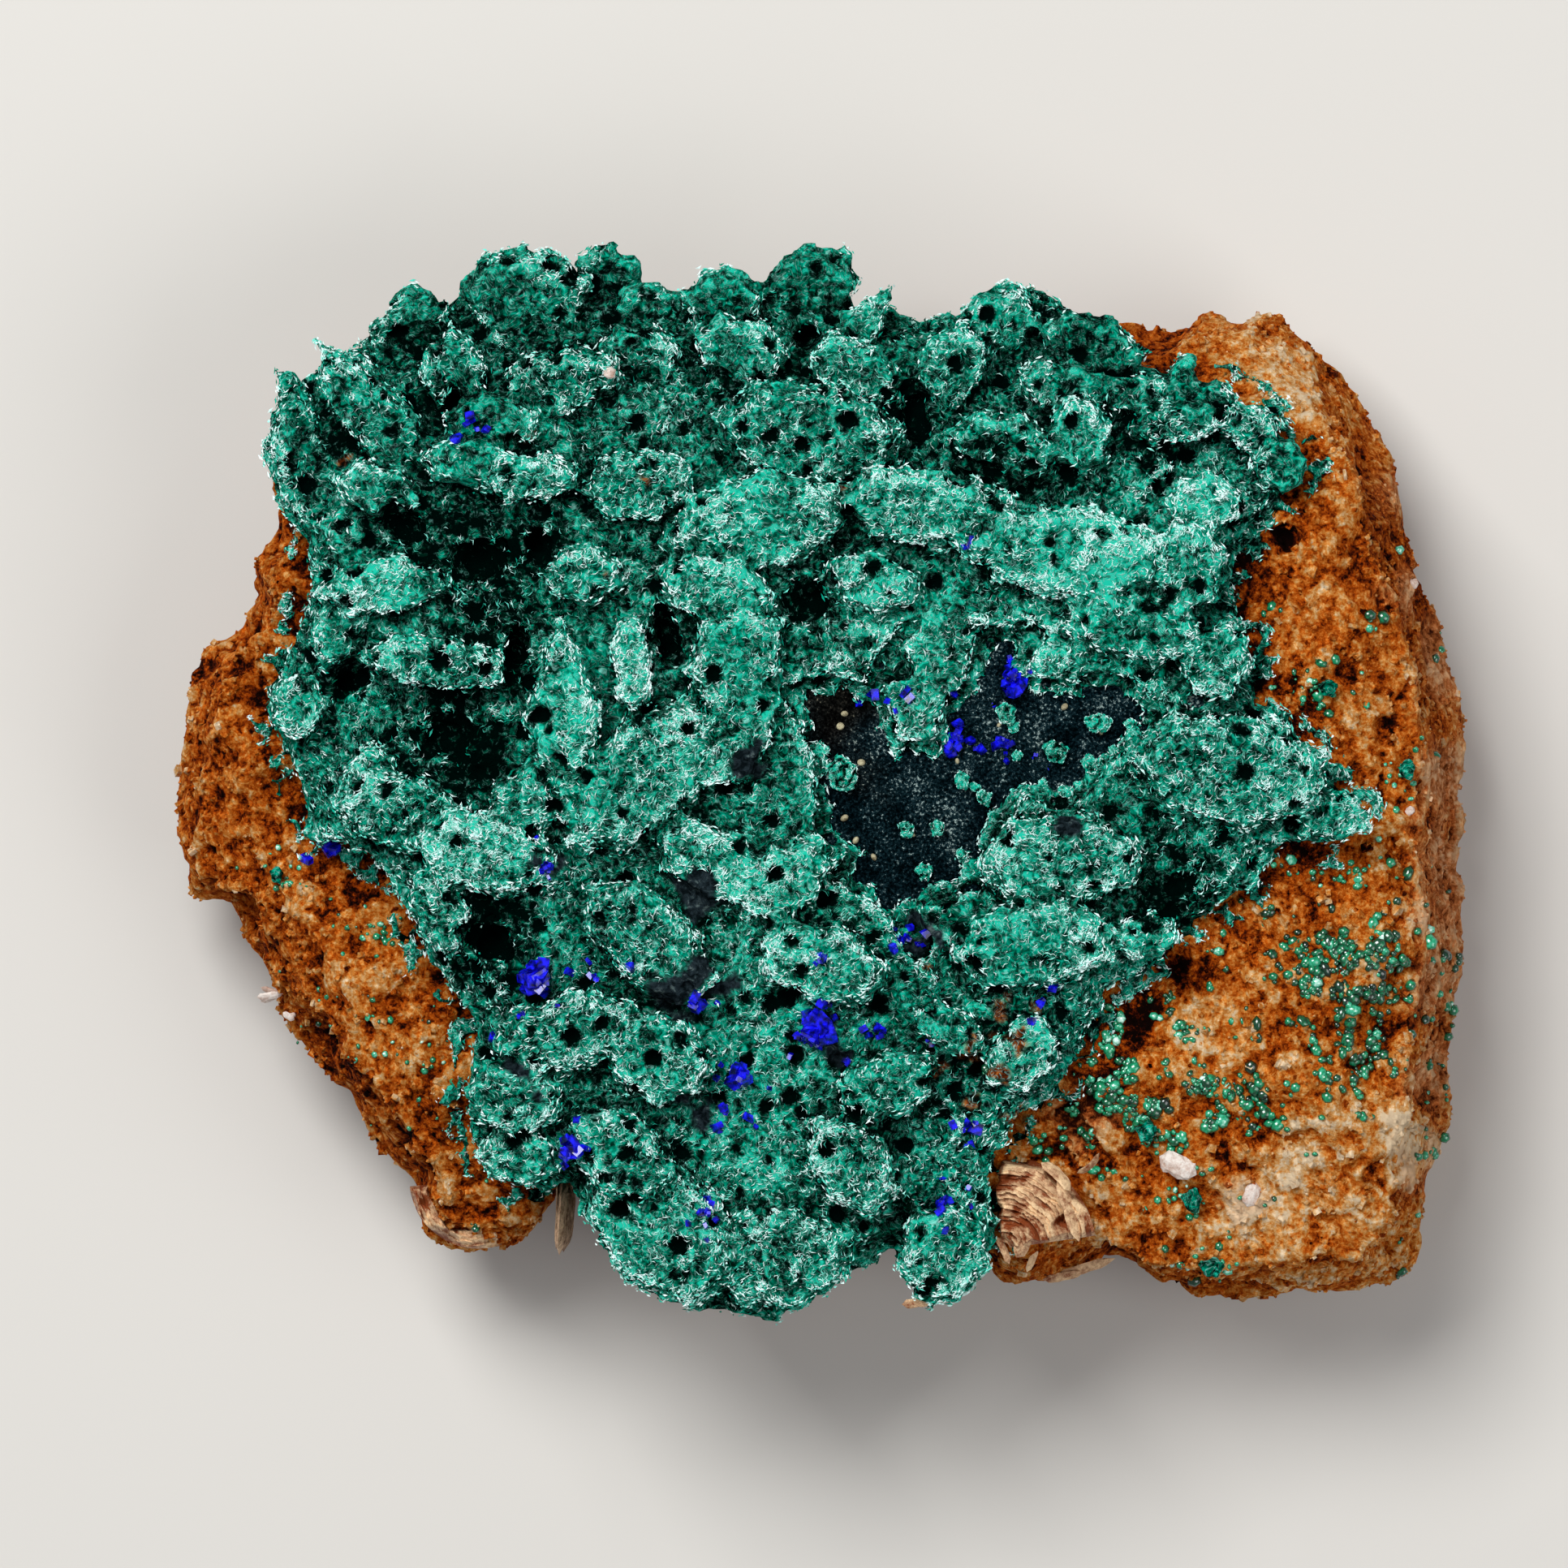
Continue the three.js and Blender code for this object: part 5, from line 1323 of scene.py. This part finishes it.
def plates(rows):
    """Closed plates, each row a middle (x, y, z), length, width, thickness, turn and lean in degrees,
    and bend, in mm. With u from -1 to 1 and v round the section, w = 3 * (1 - |u|) up to 1 and noise r
    of 15%: along = length / 2 * u, across = width / 2 * w * r * cos(v), up = thickness / 2 * w * sin(v)
    + bend * (1 - u^2). Lean turns the plate about its length, from lying flat to standing on edge."""
    rows = np.array(rows)
    u = np.sin(np.pi / 2 * np.linspace(-1, 1, PLATE_STATIONS))[None, :, None]
    v = (2 * np.pi * np.arange(PLATE_AROUND) / PLATE_AROUND)[None, None]
    length, width, thick, bend = (rows[:, i][:, None, None] * MM for i in (3, 4, 5, 8))
    w = np.minimum(1, 3 * (1 - np.abs(u)))
    noise = rng.uniform(-1, 1, (len(rows), PLATE_STATIONS, PLATE_AROUND)) * (np.abs(np.cos(v)) > 0.5)
    flat = np.stack([
        length / 2 * u + 0 * v * width,
        width / 2 * w * (1 + 0.15 * noise) * np.cos(v),
        thick / 2 * w * np.sin(v) + bend * (1 - u**2),
    ], axis=-1)
    turns = turns_about(2, rows[:, 6]) @ turns_about(0, rows[:, 7])
    points = np.einsum("nij,nuvj->nuvi", turns, flat) + rows[:, None, None, :3] * MM
    steps = PLATE_STATIONS * PLATE_AROUND * np.arange(len(rows))[:, None, None]
    faces = tube_faces(PLATE_STATIONS, PLATE_AROUND)[None] + steps
    return points.reshape(-1, 3), faces.reshape(-1, 3)


def whole(name, points, faces, tints):
    """A mesh whose end rings, each of zero width or height, are merged to a point or a line."""
    rough = mesh_from(name + "_rough", points, faces)
    paint(rough, tint=tints)
    shell = bmesh.new()
    shell.from_mesh(rough)
    bmesh.ops.remove_doubles(shell, verts=shell.verts, dist=0.005 * MM)
    bmesh.ops.recalc_face_normals(shell, faces=shell.faces)
    mesh = bpy.data.meshes.new(name)
    shell.to_mesh(mesh)
    shell.free()
    return mesh


# %% [markdown]
# Each plate is placed one by one, in mm. A height is counted from the face under the spot, or from the
# top of the solid that the plates stand for, so the rows give how far above or below it they lie.

# %% Barite plates


def face_at(x, y, rise=0.0):
    """The height of the face under a spot plus the rise, in mm."""
    return height_at(face_field, x, y) / MM + rise


def box_in_mm(name):
    """The size, the middle and the top of a solid's box, in mm."""
    low, high = (corner / MM for corner in box_of(name))
    return high - low, (low + high) / 2, high[2]


def beside(middle, *rows):
    """Plates placed from a middle: the first three numbers of each row are added to it."""
    return [(*(middle + row[:3]), *row[3:]) for row in rows]


_, _, RIB_TOP = box_in_mm("barite_ribs")
CREAM_PLATES = [
    (17.9, -30.9, RIB_TOP - 0.7, 5.0, 1.3, 0.3, 108, 48, 0.05),
    (17.0, -28.6, RIB_TOP - 0.7, 3.0, 1.2, 0.3, 136, 50, 0.3),
    (19.3, -27.6, RIB_TOP - 0.8, 2.2, 0.9, 0.25, 42, 64, 0.3),
    (14.6, -33.4, RIB_TOP - 1.2, 2.2, 1.3, 0.5, 68, 40, 0.1),
    (13.2, -33.9, RIB_TOP - 1.8, 2.2, 0.8, 0.3, 115, 50, 0.1),
    (15.3, -34.5, face_at(15.3, -34.5), 2.2, 0.7, 0.3, 70, 50, 0.1),
    (19.0, -35.3, face_at(19.0, -34.8, -0.3), 5.0, 0.8, 0.25, 16, 30, 0.2),
    (17.6, -35.9, face_at(17.6, -35.2, -0.6), 3.0, 0.7, 0.25, 10, 30, 0.1),
    (7.1, -37.6, face_at(7.1, -36.9, -0.8), 2.4, 0.8, 0.25, 8, 30, 0.1),
]
left_size, left_middle, _ = box_in_mm("barite_crystal_left")
WHITE_PLATES = [
    (25.8, -27.8, face_at(25.8, -27.8, 0.2), 3.0, 1.6, 0.8, -26, 8, 0.1),
    (31.1, -29.9, face_at(31.1, -29.9), 1.9, 1.2, 0.5, 70, 20, 0.1),
    (42.8, 14.1, face_at(42.8, 14.1), 0.9, 0.7, 0.4, 0, 10, 0),
    (42.5, -2.3, face_at(42.5, -2.3), 0.8, 0.6, 0.4, 40, 10, 0),
    (-15.1, 29.2, face_at(-15.1, 29.2), 0.9, 0.8, 0.4, 80, 10, 0),
    *beside(
        left_middle,
        (0.3, -0.1, 0.1, left_size[0], 0.6, 0.35, 8, 30, 0.05),
        (0.5, 0.25, 0, 1.7, 0.6, 0.3, -16, 55, 0.05),
        (0.5, -0.2, -0.2, 1.8, 0.7, 0.4, 24, 70, 0.05),
        (1.7, -1.6, -0.4, 1.0, 0.5, 0.3, -35, 30, 0.05),
        (1.9, -1.5, -0.5, 0.8, 0.4, 0.3, 10, 50, 0.05),
    ),
]
_, blade_middle, _ = box_in_mm("barite_blade_standing")
TAN_PLATES = beside(
    blade_middle,
    (0, 0, 0, 5.8, 6.0, 0.8, 86, 86, 0.1),
    (0.35, -0.2, -0.4, 5.0, 4.8, 0.5, 84, 82, 0.1),
    (-0.35, 0.1, -0.3, 5.2, 5.0, 0.4, 88, 88, 0.1),
)
EDGE_MIDDLE = (-24.6, -28.9)
edge_spots = np.array(EDGE_MIDDLE) + 3.6 * np.array([(np.cos(a), np.sin(a)) for a in (3.3, 3.9, 4.5, 5.0)])
edge_top = np.mean([face_at(x, y) for x, y in edge_spots])
# Each fan is its middle, near and far radius, first and last angle, top and fall.
FANS = [
    ((13.2, -33.8), 0.5, 6.7, 8, 98, RIB_TOP - 0.4, 0.1),
    (EDGE_MIDDLE, 3.4, 5.0, 186, 290, edge_top, 0.5),
]

barite = {}
for name, rows, fans, slot, stands_for in (
    ("barite_ribs_curved", CREAM_PLATES, FANS, "cream_barite", ["barite_ribs"]),
    ("barite_plates_white", WHITE_PLATES, [], "white_barite", ["barite_lens_white", "barite_crystal_left"]),
    ("barite_blade_tan", TAN_PLATES, [], "tan_barite", ["barite_blade_standing"]),
):
    made = [layered_fan(*fan) for fan in fans]
    shells = [plates(rows)] + [(points, faces) for points, faces, _ in made]
    plate_tints = np.repeat(rng.normal(0, 0.04, len(rows)), PLATE_STATIONS * PLATE_AROUND)
    mesh = whole(name, *joined(shells), np.concatenate([plate_tints] + [tint for _, _, tint in made]))
    barite[slot] = piece(name, mesh, stands_for, smooth=False)

# %% [markdown]
# Clean barite has a soft, pearly gloss. Its colour is a stain in the hollows of a cloudy noise, so one
# function gives all four finishes from a dark and a light colour.

# %% Barite material


def clean_barite(name, dark, light):
    """Stained in the hollows of a noise of 0.9 mm with fine crumbs, some plates more."""
    material, shader, place, tint = new_material(name, 0.55, 1.64, 0.25, "tint")
    cloudy = {"Vector": place, "Scale": 1 / (0.9 * MM), "Detail": 7, "Roughness": 0.8}
    cloud = add(material, "TexNoise", cloudy)
    tone = add(material, "Math", {0: cloud, 1: tint}, operation="ADD")
    colour = stops(add(material, "ValToRGB", {"Fac": tone}), (0.38, dark), (0.6, light))
    bump = add(material, "Bump", {"Height": cloud, "Strength": 0.8, "Distance": 0.3 * MM})
    wire(shader, {"Base Color": colour, "Normal": bump})
    return material


for name, dressed, dark, light in (
    ("tan_barite", barite["tan_barite"], "#74421f", "#f6d0a8"),
    ("cream_barite", barite["cream_barite"], "#8a3e10", "#fbd6a6"),
    ("white_barite", barite["white_barite"], "#c09a86", "#f6ece2"),
    ("bead_barite", tan_beads, "#7a6a4c", "#d2cba6"),
):
    dress(clean_barite(name, dark, light), dressed)

# %% [markdown]
# ## The set
#
# The piece lies on a plain pale table under one large soft light, a weaker one from the other side and
# an even grey sky. The camera looks straight down through a long lens, so far off that near and far
# parts keep nearly the same size.

# %% Table, lights and camera
TABLE_HALF = 1.2
LIGHTS_AIM = (0, 0, 20 * MM)
CAMERA_AT = (-2.55 * MM, -0.35 * MM, 2.5)
SEEN_WIDTH = 113.3 * MM
RIM_HEIGHT = 12 * MM
SENSOR = 36


def table():
    """One flat square under the piece."""
    edge = TABLE_HALF * np.array([[-1, -1, 0], [1, -1, 0], [1, 1, 0], [-1, 1, 0]])
    top = placed("table", mesh_from("table", edge, np.array([[0, 1, 2, 3]])))
    material, shader, _ = new_material("table_paint", 0.9, 1.45, 0.5)
    wire(shader, {"Base Color": linear("#cfccc6")})
    dress(material, top)


def softbox(name, place, size, watts):
    """A square light that faces the middle of the piece."""
    lamp = bpy.data.lights.new(name, "AREA")
    lamp.size = size
    lamp.energy = watts
    aim = Vector(LIGHTS_AIM) - Vector(place)
    turn = aim.to_track_quat("-Z", "Y").to_matrix().to_4x4()
    placed(name, lamp).matrix_world = Matrix.Translation(place) @ turn


table()
softbox("key_light", (-0.3, 0.42, 0.8), 0.45, 9.5)
softbox("fill_light", (0.55, -0.25, 0.75), 0.6, 3)
world = bpy.data.worlds.new("studio")
world.use_nodes = True
wire(world.node_tree.nodes["Background"], {"Color": (0.9, 0.93, 1.0, 1.0), "Strength": 0.22})
bpy.context.scene.world = world

lens = bpy.data.cameras.new("camera")
lens.sensor_width = SENSOR
lens.lens = SENSOR * (CAMERA_AT[2] - RIM_HEIGHT) / SEEN_WIDTH
lens.clip_end = 10
camera = placed("camera", lens)
camera.location = CAMERA_AT
bpy.context.scene.camera = camera
bpy.context.scene.view_settings.view_transform = "Standard"

# %% [markdown]
# The last cell brings the scene up to date.

# %% The end
bpy.context.view_layer.update()
